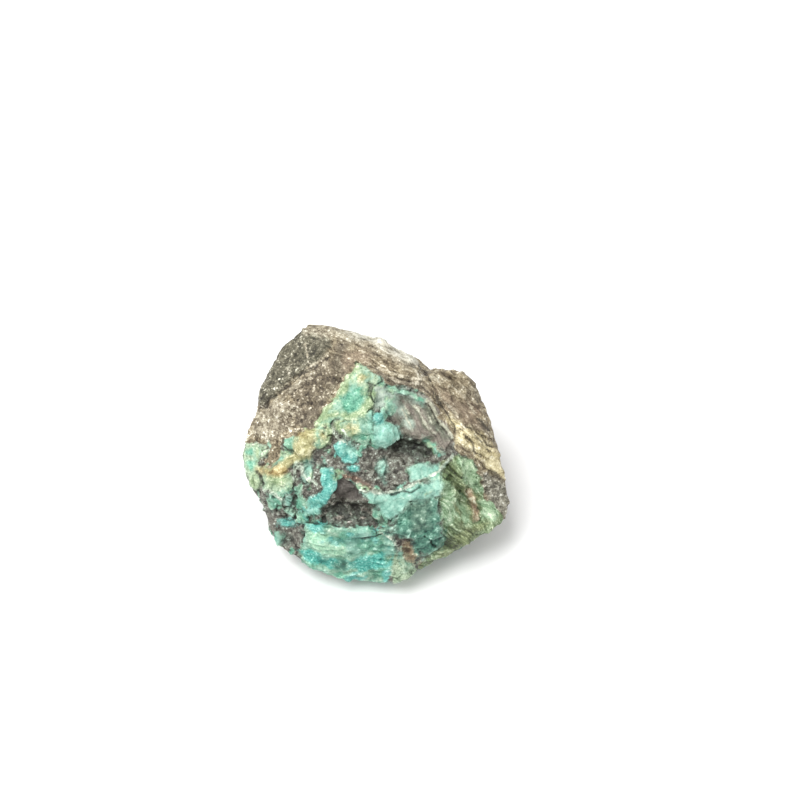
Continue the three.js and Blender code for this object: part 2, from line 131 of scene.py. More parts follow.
# Where each colour lies on the face: areas by their corners, spots by middle, radii and turn, and veins by
# their path and half width. "frays" is how much the edges of its patches fray, against 1, and "fades" how
# much of them is lost with each millimetre behind the outline.
patches = {
    "crust": {"areas": [
        [(-4.4, 22), (-0.6, 20.1), (2.3, 17.3), (3.8, 16.3), (7.9, 16), (11.4, 15), (14.1, 12.5),
         (16.3, 8.7), (18.3, 5.8), (18.6, 2.7), (19.9, -0.4), (22.6, -1), (24.8, -3), (26.2, -7),
         (26.8, -11.1), (29.3, -13.5), (33, -17.8), (23, -26.5), (9.6, -33.6), (-3.7, -34), (-17.1, -29.5),
         (-27, -20.5), (-30.1, -11.1), (-34.5, -3.6), (-33.5, 2.2), (-26.5, 2.5), (-27.2, -0.4),
         (-28.6, -1.8), (-26.4, -3.6), (-24.6, -1.4), (-23.4, 1.2), (-22.9, 3.6), (-20.6, 4.3),
         (-18.6, 5.6), (-15.9, 6.2), (-13.6, 10.6), (-11.2, 12.9), (-8.8, 15.6), (-6.4, 19.3)],
    ]},
    "bare": {"frays": 0.6, "areas": [  # where the matrix and the slab stay bare
        [(-0.4, 16.3), (2.1, 16.6), (3.4, 13.8), (10.3, 14.8), (15, 13.4), (17.8, 9.6), (20.4, 6),
         (20.4, 1), (14, -2.2), (8, -2.8), (5.6, -8), (-3.5, -8), (-8.6, -4.2), (-9.6, -1), (-3.2, -0.4),
         (-1, 1), (6, 3.4), (5.4, 7.8), (2.2, 10.4), (0.4, 12.5)],
        [(-13.2, -14), (-9.4, -10.6), (-8.4, -5.6), (-4.6, -9), (-2, -11.1), (-0.2, -14), (0.6, -16.4),
         (-1.2, -18.2), (-8.2, -18.2), (-13, -17.2)],
        [(-16, -0.2), (-13.6, 0.8), (-11, 0.4), (-11.2, -3.2), (-13.8, -3.6), (-14.2, -5.6), (-13.6, -8),
         (-16.2, -8.6), (-15.8, -5)],
        [(-28, -14.4), (-23.4, -15.4), (-19.6, -18), (-18.6, -22.4), (-20, -24), (-24, -22),
         (-26.6, -18.6)],
    ]},
    "mint": {"frays": 0.7, "areas": [
        [(-4.2, 21.7), (-0.6, 20.1), (2.3, 17.2), (0.7, 16.3), (-0.4, 15.6), (-0.8, 13.9), (-1.5, 11.6),
         (-3.5, 10.3), (-4.2, 8.5), (-6.4, 6.9), (-8.2, 6.7), (-10, 8.3), (-11.8, 7.6), (-12.7, 4.9),
         (-13.6, 2.2), (-14.9, 1.4), (-15.4, 4), (-15.4, 6.7), (-13.6, 9.4), (-10.9, 12.5), (-8.2, 15.6),
         (-6, 19.7)],
        [(-9.9, 7.3), (-3.7, 8.4), (-1.1, 10.3), (-0.4, 6.7), (-0.8, 2.7), (-2.9, 1.1), (-4.2, 2.7),
         (-6, 3.1), (-9, 4)],
        [(-24.6, -9), (-20.4, -9.4), (-22.8, -10.3), (-23.1, -13.4), (-25.8, -14), (-27.4, -11.6)],
        [(-17.4, -17), (-15.4, -16.6), (-11.8, -17.8), (-8.2, -18.6), (-3.7, -19), (-0.2, -18.8),
         (2.9, -19.8), (4.3, -22.8), (5.2, -24.1), (3.8, -27.7), (2.9, -33), (-3.7, -33.5), (-10, -31.8),
         (-15.8, -29.5), (-20, -25.5), (-17.7, -21)],
    ], "spots": [
        (3.5, 11.4, 1.2, 1.9, 0), (-21.2, 2.3, 1.5, 1.9, 0), (1.4, -16.2, 1.3, 2.4, 25),
        (14.2, 1.8, 1.7, 0.6, -45), (-19.2, -9.4, 0.7, 1.2, 0), (-18.7, -12.7, 1, 0.9, 0),
        (-21.6, -14.4, 1, 0.8, 0), (-17.7, -16.1, 0.7, 1, 0), (-24.3, -21.3, 1, 1.4, -20),
    ], "veins": [([(2.4, 15.7), (5.5, 15.3), (8.9, 14.3), (11.4, 12.9)], 0.45)]},
    "sage": {"frays": 0.8, "areas": [
        [(-4.4, 21.6), (-0.6, 20), (1.6, 17.6), (-0.6, 15.6), (-2.4, 16.2), (-5.8, 16.6), (-6.2, 19)],
        [(3.8, -24.2), (6.2, -24.8), (9.4, -27.4), (10.2, -29.6), (8.4, -33), (4.4, -34), (3.4, -28)],
        [(-31.9, 2.2), (-29.5, 2.5), (-26.7, 1.9), (-27.7, -0.3), (-28.9, -1.8), (-28.4, -4.2), (-28, -6.7),
         (-28.9, -9.1), (-30.1, -9.1), (-32.2, -5.1), (-33.2, -2.1), (-32.6, 0.7)],
        [(-28, -4.4), (-24.9, -5.8), (-20.6, -4.8), (-20.3, -7.3), (-20.6, -9.1), (-24.6, -9.6), (-28, -9)],
    ], "spots": [(-22.3, -1.8, 2, 1.8, 20)]},
    "foam": {"areas": [
        [(-16.8, -20), (-12.4, -19.2), (-6.6, -21), (-5.4, -23.6), (-8.4, -25.4), (-13, -25),
         (-16.6, -23.4)],
    ], "spots": [(10.6, -3.9, 1.6, 0.8, -10)], "veins": [([(-16, -23.4), (-9, -22.6), (-1, -24)], 0.4)]},
    "jade": {"areas": [
        [(-8.6, 15.7), (-6.1, 16.3), (-3.1, 15.7), (-2.1, 14.1), (-2.7, 11.7), (-4.9, 9.9), (-7.6, 9.9),
         (-8.6, 12.3)],
        [(-9, -19.6), (-3, -20), (1.4, -21), (2.4, -23.6), (1, -25), (-5, -24.4), (-8, -22.4)],
        [(1.5, -25.5), (4.2, -26), (3.4, -30), (0.4, -31), (0.4, -28)],
    ], "spots": [
        (-3.2, 4.2, 1, 0.9, 0), (-0.4, 3.4, 0.9, 0.7, 0), (-30.4, -3.4, 1.2, 1.6, 20),
        (9, -15.4, 0.9, 1.8, -35), (14, -9, 1.4, 0.6, -10),
    ]},
    "aqua": {"frays": 0.6, "areas": [
        [(8.3, -3.6), (10.5, -2.4), (15.4, -2.9), (15.8, -4.4), (12.3, -5.8), (10.1, -6.9), (8.7, -6.2)],
        [(-4.2, -9.6), (-1.1, -9.4), (3.4, -10), (7.4, -8.9), (11.9, -6.9), (15.9, -5.8), (16, -10.7),
         (12.3, -11.6), (8.8, -12), (7, -14.7), (3.8, -16.5), (1.6, -14.7), (0.3, -12.9), (-1.5, -11.1)],
        [(0, 6.5), (1.8, 7.7), (4.6, 6.8), (5.5, 5), (4.9, 2.8), (2.4, 1.6), (0.3, 1.9), (-0.3, 4)],
    ], "spots": [
        (1.8, -4.2, 1.1, 2.2, 0), (-16.8, -4.6, 0.8, 2.4, -8), (-21.4, -12.2, 1.2, 1.5, 0),
    ]},
    "turquoise": {"frays": 0.6, "areas": [
        [(-10.4, 2), (-7.8, 1.4), (-4.6, 0), (-5, -1.8), (-6.4, -2.8), (-8.7, -1.8), (-10.2, 0)],
        [(-14, -4.2), (-10.9, -3.9), (-9.9, -6.7), (-10.2, -9.4), (-11.8, -12), (-13.6, -14.4),
         (-15.4, -15.6), (-16.7, -14.7), (-16.6, -11.4), (-14.9, -10.9), (-13.3, -8.9), (-14, -6.7)],
        [(-17.3, -17.4), (-12.7, -17), (-12.3, -19.2), (-15, -19.7), (-16.8, -19)],
    ], "spots": [
        (0.9, 8.2, 1.3, 1.4, 0), (-5.8, -4, 1.4, 1, 0), (-22.1, -17.2, 1.9, 1.2, 0),
        (-8.5, 1.6, 1.1, 1.1, 0),
    ]},
    "teal": {"areas": [
        [(8.4, -12.3), (16, -11.1), (16.3, -17.8), (17.2, -22.6), (12.4, -26.2), (10.6, -24.6),
         (7.9, -21.4), (3.4, -20.6), (4.7, -16.9), (7, -14.9)],
    ], "spots": [
        (-8.7, -27.5, 1.7, 1.4, 20), (10.1, -25, 1.3, 2.7, -40), (-0.6, 7.4, 0.6, 0.6, 0),
        (-4.4, -22.4, 2.6, 0.4, -4), (1.4, -23.4, 2.2, 0.4, 6),
    ]},
    # partly painted highlight on the bright lump, partly its own pale aqua; two small pale spots besides
    "glint": {"frays": 0.5, "areas": [
        [(0.2, 3.4), (0.8, 5.8), (2.8, 7.1), (5, 6.3), (5.9, 4.4), (5, 2.6), (2.8, 1.5), (1, 1.9)],
    ], "spots": [
        (-6.6, 0.8, 2, 1, -30), (-15.2, -14.6, 1.4, 0.8, 20),
    ]},
    "yellow": {"frays": 0.7, "spots": [
        (-3.2, 18.6, 1.7, 0.9, 0), (-29.8, -6.8, 1.1, 1.9, 15), (-24, -6.6, 3.2, 1.6, 0),
        (-2.3, 14.9, 0.6, 1.2, 0),
    ], "veins": [
        ([(-4.4, 21.2), (-5.8, 19.6), (-7.3, 17.2), (-9.2, 14.7), (-11.3, 12.3), (-13.4, 10.2), (-15, 7.8),
          (-16, 5.6)], 1.25),
        ([(-14.2, 8.6), (-11.6, 9.6), (-8.9, 9.5), (-6.4, 8.3), (-3.7, 9.6), (-1.8, 12.3), (-1.2, 14.4)],
          1),
        ([(-9.8, 7.2), (-7.3, 7.7), (-4.6, 7.7), (-4.3, 5.6), (-6.4, 4), (-8.6, 4.7), (-9.8, 7.1)], 0.65),
        ([(-14.7, 7.1), (-12.8, 7.1), (-11.9, 5), (-12.5, 3.1), (-14.1, 2.2), (-15, 4)], 0.55),
    ]},
    "gold": {"frays": 0.6, "areas": [
        [(-18.8, 5.2), (-16.6, 6.4), (-15.1, 5), (-15.4, 1.6), (-16.7, -1.4), (-18.6, -1.6), (-20, -0.8),
         (-19.8, 2.4)],
    ], "spots": [
        (-7, 5.7, 1.8, 1, 0), (-13.6, 4.7, 0.8, 1.2, 0), (-2.7, 18.5, 1, 0.5, 0),
    ], "veins": [([(-18.6, -0.4), (-20.6, -1.6), (-22.4, -3.2), (-24.3, -4.3)], 1.3)]},
    "ochre": {"frays": 0.5, "spots": [
        (-28, -4.2, 1.1, 0.9, 0), (-18.4, 4.4, 0.8, 0.5, 0),
    ], "veins": [([(-28.6, -4.4), (-26.4, -4.9), (-24.2, -4.7), (-22.4, -4)], 0.95)]},
    # painted highlight along rims and edges, and a few real pale chips in the lower hollow
    "ledge": {"frays": 0.3, "veins": [
        ([(-0.8, -9.1), (2.9, -9.7), (7, -8.8), (10.1, -7.1), (13.2, -5.7), (15.8, -4.4), (17, -3),
          (18.8, -1.6)], 0.32),
        ([(-4.2, -9.2), (-0.8, -9.1)], 0.14),
        ([(1.7, -20.3), (3.8, -21.4), (6.2, -24.2)], 0.3),
        ([(-19.1, -1.8), (-19.7, -4.8), (-20, -7.9)], 0.35),
        ([(-18.3, -2.2), (-17.6, -5.4), (-15.1, -7.9)], 0.3),
        ([(-10.9, 5.2), (-9.4, 3.4), (-7.6, 2.2)], 0.35),
        ([(-8.9, 5.6), (-7, 3.2)], 0.25),
        ([(-27.4, -9), (-25, -9.8), (-23, -11.4)], 0.3),
        ([(-9.9, -15.4), (-8.6, -16.2)], 0.2),
        ([(-5.6, -15.6), (-4.4, -16.5)], 0.16),
        ([(-7.6, -17.2), (-6.2, -17.6)], 0.14),
        ([(-12.2, -15.2), (-11.2, -16)], 0.14),
    ]},
    "slab": {"frays": 0.5, "areas": [
        [(3.4, 14.3), (7.4, 13.6), (10.6, 15), (14.6, 13), (17.2, 9), (19.2, 5.8), (19.4, 2.7), (17.4, 0.5),
         (14.6, 1.4), (11.9, 3.1), (7.9, 4.5), (6.1, 4.9), (5.2, 7.2), (3.8, 9.4), (2.7, 11.2)],
        [(-0.4, 16.3), (2.1, 17), (2.9, 15.6), (2.1, 13.9), (0.3, 12.5), (-0.8, 14.3)],
    ]},
    "umber": {"frays": 0.5, "areas": [  # brown facet over the hollow
        [(-9.8, -3.8), (-5.2, -6.3), (-3.2, -9), (-3.8, -11), (-6.4, -11.6), (-9.6, -11.2), (-10.2, -9.4)],
    ]},
    "mist": {"areas": [  # pale film between the slab and the mint
        [(-2, 16.2), (2.2, 17.2), (4.6, 15.4), (6, 13), (4.8, 9.8), (2.6, 9.6), (0.4, 10.6), (-2, 12)],
    ], "veins": [
        ([(2.4, 15.4), (5.5, 15), (8.9, 14), (11, 13)], 1),
        ([(5.2, 11.4), (7, 8.8), (8.6, 7.4)], 0.6),
    ]},
    "streak": {"frays": 0.4, "veins": [
        ([(6.6, 10.4), (7.8, 8), (9, 6)], 0.27),
        ([(10, 11.2), (12.1, 8.1), (14.6, 4.8)], 0.36),
        ([(12.6, 13.2), (14.2, 11), (15.4, 8.5), (17.5, 6), (19.2, 3.4)], 0.5),
        ([(12.8, 10.2), (14.6, 7.4), (16.4, 4.4)], 0.1),
        ([(12.3, 2.7), (14.6, 1.4), (15.9, 0.2)], 0.4),
        ([(7.4, 10.8), (8.2, 9.6)], 0.25),
    ]},
    "dusk": {"frays": 0.8, "areas": [  # dark green band on the slab
        [(10.6, 13.4), (12.6, 12.9), (15, 9.6), (17.4, 6), (18.8, 3.2), (17.4, 2.2), (15.2, 5.6),
         (12.4, 9.4)],
    ], "spots": [
        (8.4, 8.6, 2.8, 0.6, -55), (11, 8.6, 3.6, 0.45, -55), (6.6, 6.8, 2, 0.5, -60),
    ]},
    # painted shade: this field darkens the hollows under the slab and over the shelf, the pits and the green
    # break's crevice
    "hollow": {"frays": 0.5, "areas": [
        [(5.8, 4.3), (7.9, 4.5), (12.3, 2.7), (14.6, 0.5), (13.2, -1.8), (9.6, -1.8), (7, -0.4), (4.3, 0.9),
         (1.6, 0.5), (2.9, 1.6), (5.2, 2.2)],
        [(-13.6, -14.7), (-10, -12.9), (-6.4, -13.8), (-2, -13.8), (-0.8, -15.4), (0.2, -17), (-1.2, -18.4),
         (-3.7, -18.8), (-8.2, -18.2), (-11.8, -17)],
    ], "spots": [
        (8, -24.2, 2.7, 1, -50), (-8.7, -27.3, 1.7, 1.3, 20), (17.4, -23, 2.4, 1.4, 30),
        (-22.6, -21.4, 2.6, 1.8, -35),
    ], "veins": [
        ([(18.2, -3), (20, -5), (20.6, -7.4), (22.6, -10.6), (24.2, -13), (24.4, -17.4)], 0.3),
        ([(17.6, -3.6), (18.8, -4.8), (19.6, -6.2)], 1),
    ]},
    "green": {"areas": [
        [(16.2, -5.8), (18, -2.4), (20.4, -1), (24, -1.3), (25.6, -4.2), (26.4, -8), (27.1, -11.6),
         (29.6, -12.6), (33, -17.4), (25.3, -22), (18.6, -26), (13.7, -28), (11.2, -30), (10.4, -31),
         (11.4, -27.4), (16.8, -22.6), (16.4, -17.8), (16.1, -11.1)],
    ]},
    "lime": {"areas": [
        [(20.3, -1), (24, -1.3), (25.3, -4.7), (25, -7.7), (22, -6.3), (20.7, -3.7)],
        [(26, -12), (29.3, -12.7), (30.4, -16), (26.7, -16.7)],
        [(15.9, -6.6), (17.8, -6.4), (18.8, -11), (19.2, -16.6), (17.2, -18), (16, -16)],
        [(17.3, -10.7), (20.3, -12), (23.3, -15.3), (23.3, -17.3), (20.3, -17.3), (17.7, -15.3)],
    ], "spots": [(17.6, -8.4, 1.5, 1.9, 0)], "veins": [
        ([(20.8, -2.3), (22.5, -5.7), (24.2, -9), (26.7, -9.8)], 0.8),
        ([(20.8, -9.4), (22.5, -11.5), (22.4, -14.4), (24, -17.2)], 0.5),
        ([(18.6, -11.4), (20.4, -13.6), (22, -17.6)], 0.4),
        ([(25.8, -12.6), (27.6, -15), (29.2, -17)], 0.5),
    ]},
    "rust": {"frays": 0.5, "spots": [
        (8.3, -24.4, 3.4, 1.35, -50),
    ], "veins": [([(23.2, -10), (24.5, -13.4), (24.8, -16.9)], 0.85)]},
    "olive": {"frays": 0.8, "areas": [
        [(15.6, -21.2), (17.6, -21.4), (21, -19.3), (28, -18), (25.2, -21.4), (20.7, -24), (15.6, -26.6)],
    ], "veins": [
        ([(17.4, -3.4), (19.4, -4.6), (20.2, -7.3), (22.7, -10), (24.7, -12)], 1.2),
        ([(23, -12.8), (24.2, -17.6)], 0.7),
        ([(18.6, -12.4), (21, -16), (21.4, -19)], 0.5),
    ]},
    "straw": {"areas": [
        [(20.6, 4.6), (23.6, 5.4), (26.6, 4), (29.6, 0.8), (31.6, -1.6), (32, -6.4), (29.3, -5.3),
         (26.4, -2.2), (23.4, 0.2), (20.4, 2)],
    ], "spots": [(19.6, 6.8, 1.6, 0.6, -45)]},
    "cream": {"areas": [
        [(-28.8, 11.2), (-26.1, 12.5), (-21.6, 12.5), (-18.5, 11.6), (-18, 10.3), (-19.8, 8.5),
         (-20.7, 5.8), (-23.8, 4.5), (-27, 2.7), (-30.5, 4.5), (-30.1, 7.2)],
        [(13.2, 18.8), (15.4, 19.7), (17.7, 18.8), (14.6, 17.9)],
    ], "spots": [
        (11.4, 20.1, 1.6, 0.9, -30), (-9.4, 22.4, 0.8, 1.3, 15), (23.6, 14.6, 2.2, 1.4, -45),
    ], "veins": [
        ([(-17.1, 31), (-10, 29.9), (-3.7, 28.3), (1.6, 26.3), (5.2, 24.3), (8.8, 22.3)], 1.6),
        ([(9, 15.6), (11.4, 14.3)], 0.4),
        ([(-27.6, 10), (-24, 13.1), (-20.6, 15.7), (-16.4, 19), (-12.6, 21.9)], 0.5),
    ]},
    "shoulder": {"frays": 0.7, "areas": [
        [(-18.6, 31.6), (-14, 29.8), (-10.6, 28), (-13.3, 23.4), (-17, 20.4), (-21.3, 17.2), (-24.6, 14.5),
         (-28.6, 11.2), (-31, 14.8), (-24.8, 25.9), (-21.3, 29.9)],
    ]},
    "brown": {"areas": [
        [(-22.5, 15.4), (-18, 18.8), (-13.4, 22.5), (-8.4, 26.6), (-6, 24), (-5.6, 21.5), (-8.5, 18),
         (-11.5, 13.5), (-14.5, 9.5), (-17, 6.3), (-20.5, 6.5), (-19.5, 9.5), (-20.5, 12.6)],
    ]},
    "greyEnd": {"areas": [
        [(26.2, -4.4), (29.5, -6), (32.4, -7), (34, -13), (33.5, -18), (29.6, -14), (26.8, -10)],
    ]},
    "darkband": {"areas": [
        [(-3.7, 22.2), (0.7, 20.6), (5.2, 18.6), (11.9, 17.4), (13.7, 14.8), (9.6, 15.2), (4.3, 16.5),
         (2.1, 17.9), (-1.1, 20.6)],
    ], "spots": [
        (-17.1, 7.8, 2.7, 1.8, 0), (12.3, 19.7, 0.5, 2.2, -35), (-9.5, 26, 1.8, 1, 20),
        (26.4, 6.2, 1.7, 1.2, -45), (22, 10, 2, 1.3, -45),
    ], "veins": [([(-16, 9.5), (-12, 14.4), (-9, 18.6), (-6, 22)], 0.8)]},
    "pink": {"areas": [
        [(-8.7, 24.6), (-4.6, 25.9), (-1.1, 24.6), (-2, 21.9), (-4.6, 21.9), (-8.2, 20.6)],
        [(14, 15.6), (18, 15.4), (24.4, 9.6), (26, 6), (22.6, 6.6), (18.4, 10.6)],
    ], "spots": [
        (23.9, 11.2, 2.7, 1.3, -40), (-21.6, 11.2, 2.7, 1.3, 0), (-23.8, 8.5, 2.7, 2.7, 0),
    ]},
    # painted highlight: the top edge made pale where it faces up into the light
    "fringe": {"fades": 1.5, "areas": [
        [(-7, 32), (0, 30.4), (5, 28), (9.8, 25.2), (12.4, 21.8), (9.4, 21.6), (6.6, 23.2), (2.4, 25.4),
         (-2, 27.2), (-6, 28.6)],
    ]},
    "lagoon": {"frays": 0.7, "areas": [
        [(-19.8, -24.6), (-16.5, -23.6), (-13, -25.4), (-8.5, -26.4), (-3, -25.6), (2.4, -25), (2.6, -28.2),
         (-3, -29.4), (-9, -28.8), (-14, -27.8), (-17.6, -27)],
    ]},
    "celery": {"frays": 0.7, "areas": [  # palest part of the green rib
        [(21.2, -1.8), (24, -2), (25.1, -5), (25.2, -7.6), (23.4, -7), (21.8, -4.4)],
    ], "spots": [
        (27.8, -14.4, 1.6, 0.7, -50), (19.6, -12.6, 1.8, 0.6, -45),
    ]},
    "scratch": {"frays": 0.22, "veins": [
        ([(-17.4, 20.6), (-14.8, 22.2), (-12, 24.4)], 0.3),
        ([(-17.8, 26.8), (-16.9, 21.8)], 0.16),
        ([(-22.8, 20.6), (-20.2, 17)], 0.14),
        ([(-24.6, 15), (-21.6, 17.4)], 0.16),
        ([(0.7, 21), (4.3, 19.9), (8.8, 18.8), (12.3, 17.9)], 0.28),
        ([(3.2, 18.6), (7.4, 17.6), (10.6, 17)], 0.14),
        ([(15.4, 13.8), (18.2, 11.4), (20.4, 8.6)], 0.16),
        ([(19.4, 16.4), (22.4, 13), (24.6, 9.6)], 0.14),
    ]},
    "sienna": {"frays": 0.5, "spots": [(-6, -6.7, 4.2, 0.8, -20)]},  # reddish streak over the brown facet
    "moss": {"frays": 1.3, "areas": [  # grey middle of the teal area
        [(8.8, -11.8), (13, -11.8), (15, -13.2), (13.8, -16), (13.2, -19), (10, -19.8), (8.2, -17.4),
         (8.8, -14.4)],
    ]},
    "chip": {"frays": 0.3, "spots": [  # pale chips in the lower hollow
        (-8.9, -16.1, 1, 0.4, 15), (-6.3, -17.5, 0.5, 0.35, 0), (-3, -16.4, 0.5, 0.35, 0),
        (-2.8, -13.9, 0.7, 0.5, 0),
    ], "veins": [
        ([(-12.6, -15.2), (-12, -13.6)], 0.08),
        ([(-11.8, -12.6), (-10, -13)], 0.12),
        ([(-7.2, -13.6), (-6.4, -15), (-5.4, -15.8)], 0.02),
        ([(-2.2, -14.4), (-0.6, -15.4), (0.4, -16.4)], 0.08),
    ]},
}

# Open cracks on the face, path by path.
gaps = [
    [(-20, -3.6), (-20.4, -6.7), (-20, -11.6), (-20.4, -15.2)],
    [(-25.5, -10.9), (-23.4, -11.5), (-21.2, -11.6)],
    [(-22.9, 3.4), (-22.6, 1.8), (-21.9, 0.8), (-20.3, 0.2)],
    [(-1.3, -18.6), (0.3, -20.7), (1.7, -20.1)],
    [(-18.3, -16.6), (-14, -17.2), (-9, -18.6)],
    [(-18.2, -16.5), (-18, -20), (-18.6, -23.6)],
    [(3.6, -10.4), (8.4, -9.4), (11.4, -8)],
    [(2.6, 16.6), (4.8, 15.9), (8.4, 15.7)],
    [(0.3, -20.7), (-3.4, -21.8), (-7, -21.4)],
    [(-28.6, 11.2), (-24.6, 14.5), (-21.3, 17.2), (-17, 20.4), (-13.6, 23.2)],
    [(-28.4, 10.9), (-24.4, 14.1), (-21.1, 16.8)],
    [(-18, 19.2), (-16.2, 20.2), (-13, 22.6), (-11.4, 24)],
    # this crack follows the notch's step in the top edge, and its dark line paints that step's shadow
    [(11.2, 21.8), (12.2, 20), (13.8, 18)],
    [(13.4, 15.4), (15.6, 12.4), (18.4, 8.4), (19.6, 4.4)],
    [(13.2, 11.6), (15.2, 8.4), (17.2, 5)],
    [(21.4, 4.6), (23.8, 2), (26.4, -1)],
    [(23.8, 5.2), (26.6, 2.2), (29.4, -1.4)],
    [(22.4, 6.8), (25.6, 4.8), (28.6, 1.6)],
    [(25.4, 8.4), (28, 5.4), (29.4, 2.8)],
    [(12, -20.4), (13.2, -22), (14.6, -23.6)],
]


def ease(t):
    # smooth step: 3t^2 - 2t^3 between 0 and 1
    t = np.clip(t, 0, 1)
    return t * t * (3 - 2 * t)


def within(field, edge):
    # 1 well inside a patch, 0 well outside: eased over the edge's width, of which a share lies outside
    width, outside = edge
    return ease(field / width + outside)


def wornMin(a, b, width):
    # the lesser of two, with the corner between them rounded off over a width
    share = np.maximum(width - np.abs(a - b), 0) / width
    return np.minimum(a, b) - share * share * width / 4


def heading(x, y, degrees):
    # how far a point lies in a direction of the face: x cos + y sin
    return x * np.cos(np.radians(degrees)) + y * np.sin(np.radians(degrees))


def outlineReach(angle):
    # distance of the outline from its centre: where a ray at that angle crosses the edge between two corners
    corners = np.array(stone["outline"], float)
    turns = np.arctan2(corners[:, 1], corners[:, 0]) % (2 * np.pi)
    order = np.argsort(turns)
    corners, turns = corners[order], turns[order]
    after = np.searchsorted(turns, angle % (2 * np.pi), side="right") % len(corners)
    a, b = corners[after - 1], corners[after]
    across = np.cos(angle) * (b[:, 1] - a[:, 1]) - np.sin(angle) * (b[:, 0] - a[:, 0])
    return (a[:, 0] * b[:, 1] - a[:, 1] * b[:, 0]) / across


def besidePath(x, y, path):
    # distance to the nearest straight leg of a path, and how far to the left of that leg's line it lies
    nearest = np.full(x.shape, np.inf)
    left = np.zeros(x.shape)
    for (ax, ay), (bx, by) in zip(path, path[1:]):
        dx, dy = bx - ax, by - ay
        t = np.clip(((x - ax) * dx + (y - ay) * dy) / (dx * dx + dy * dy), 0, 1)
        distance = np.hypot(x - ax - t * dx, y - ay - t * dy)
        closer = distance < nearest
        nearest = np.where(closer, distance, nearest)
        left = np.where(closer, (dx * (y - ay) - dy * (x - ax)) / np.hypot(dx, dy), left)
    return nearest, left


def moundShare(x, y, at, radii, turn):
    # 0 in the middle of a turned ellipse, 1 on its edge
    x, y = x - at[0], y - at[1]
    return np.hypot(heading(x, y, turn) / radii[0], heading(x, y, turn + 90) / radii[1])


# Lattices of fixed random values. A stream is a number that sets one pattern's values apart from another's.
lattice = {
    "mixing": (127.1, 311.7, 74.7),  # turn a cell's place into an angle
    "streamStep": 53.3,  # and a stream's number
    "gain": 43758.5453,  # makes the sine so large that its fraction is as good as random
    "jitter": 0.42,  # how far a cell's middle strays, in cells
    "chipJitter": 0.4,
    "chipStreams": ((1, 2, 3), (4, 5, 6), 7),  # for the middle, the tilt and the lift of a chip
    "chipLift": 0.45,
    "chipSharpness": 14,
}


def randomAt(cell, stream):
    # a fixed random value from -1 to 1 at a lattice cell: the fraction of a fast sine
    wave = np.sin(cell @ np.array(lattice["mixing"]) + stream * lattice["streamStep"]) * lattice["gain"]
    return 2 * (wave - np.floor(wave)) - 1


def waves(points, spacing, stream):
    # a random value at each corner of a cubic lattice, eased between the eight corners round a point
    scaled = points / spacing
    base = np.floor(scaled)
    share = ease(scaled - base)
    total = 0
    for offset in itertools.product((0, 1), repeat=3):
        weight = np.prod(np.where(np.array(offset) == 1, share, 1 - share), axis=1)
        total = total + weight * randomAt(base + offset, stream)
    return total


def octaves(points, table, shift=0):
    # waves of several spacings, each times its height and from its own stream, added up
    return sum(height * waves(points, spacing, stream + shift) for spacing, height, stream in table)


def chips(points, spacing):
    # each cell of a jittered lattice is a tilted plane, and the nearest planes are blended by distance
    scaled = points / spacing
    base = np.floor(scaled)
    middles, tilts, lift = lattice["chipStreams"]
    total, weights = 0, 0
    for offset in itertools.product((-1, 0, 1), repeat=3):
        cell = base + offset
        jitter = np.stack([randomAt(cell, stream) for stream in middles], 1)
        away = scaled - cell - 0.5 - lattice["chipJitter"] * jitter
        tilt = np.stack([randomAt(cell, stream) for stream in tilts], 1)
        weight = np.exp(-lattice["chipSharpness"] * (away ** 2).sum(1))
        total = total + weight * (lattice["chipLift"] * randomAt(cell, lift) + (tilt * away).sum(1))
        weights = weights + weight
    return total / weights


def waver(points):
    # how far the edges of the relief stray in x and in y
    return [octaves(points, stone["warp"], axis) for axis in (0, 1)]


def cutHeight(x, y):
    # the lowest of the hollows, each of them the highest of its walls
    lowest = np.full(x.shape, np.inf)
    for walls in stone["cuts"]:
        deep = np.full(x.shape, -np.inf)
        for faces, start, height, slope in walls:
            deep = -wornMin(-deep, -(height + slope * (heading(x, y, faces) - start)), stone["cutWear"])
        lowest = np.minimum(lowest, deep)
    return lowest


def reliefAt(x, y):
    # the height that the mounds, ledges and lines add to the face
    height = 0
    for at, radii, turn, top, flat in stone["mounds"]:
        height = height + top * ease((1 - moundShare(x, y, at, radii, turn)) / (1 - flat))
    for path, top, fade in stone["ledges"]:
        distance, left = besidePath(x, y, path)
        height = height + top * ease(left / stone["stepWidth"] + 0.5) * np.exp(-(distance / fade) ** 2)
    for path, width, top in stone["lines"]:
        height = height + top * np.exp(-(besidePath(x, y, path)[0] / width) ** 2)
    return height


def bareReach(ray):
    # length of a ray inside the bare form: a rounded body on the outline, cut by every flat break it meets
    x, y, z = ray.T
    front = z > 0
    bulge = np.where(front, stone["frontBulge"], stone["backBulge"])
    power = stone["squareness"]
    across = (np.hypot(x, y) / outlineReach(np.arctan2(y, x))) ** power
    length = (across + (np.abs(z) / bulge) ** power) ** (-1 / power)
    for side, breaks in ((front, stone["frontBreaks"]), (~front, stone["backBreaks"])):
        for faces, start, height, slope in breaks:
            towards = slope * heading(x, y, faces) + np.abs(z)
            meets = side & (towards > 0)
            cut = (height + slope * start) / np.where(meets, towards, 1)
            length = np.where(meets, wornMin(length, cut, stone["edgeWear"]), length)
    return length


def skin(ray):
    # the bare form, chipped along its ray, with hollows and relief moved straight out of the face
    points = ray * bareReach(ray)[:, None]
    x, y, z = points.T
    calm = stone["outlineCalm"] + (1 - stone["outlineCalm"]) * ease(np.abs(z) / stone["calmWidth"])
    rough = sum(height * chips(points, spacing) for spacing, height in stone["chips"])
    strayX, strayY = waver(points)
    x, y = x + strayX, y + strayY
    hollowed = np.where(z > 0, wornMin(z, cutHeight(x, y), stone["cutWear"]) - z, 0)
    relief = np.where(z > 0, reliefAt(x, y), 0)
    points = points + ray * (calm * rough)[:, None]
    points[:, 2] += (hollowed + relief) * ease(z / stone["reliefRise"])
    return points


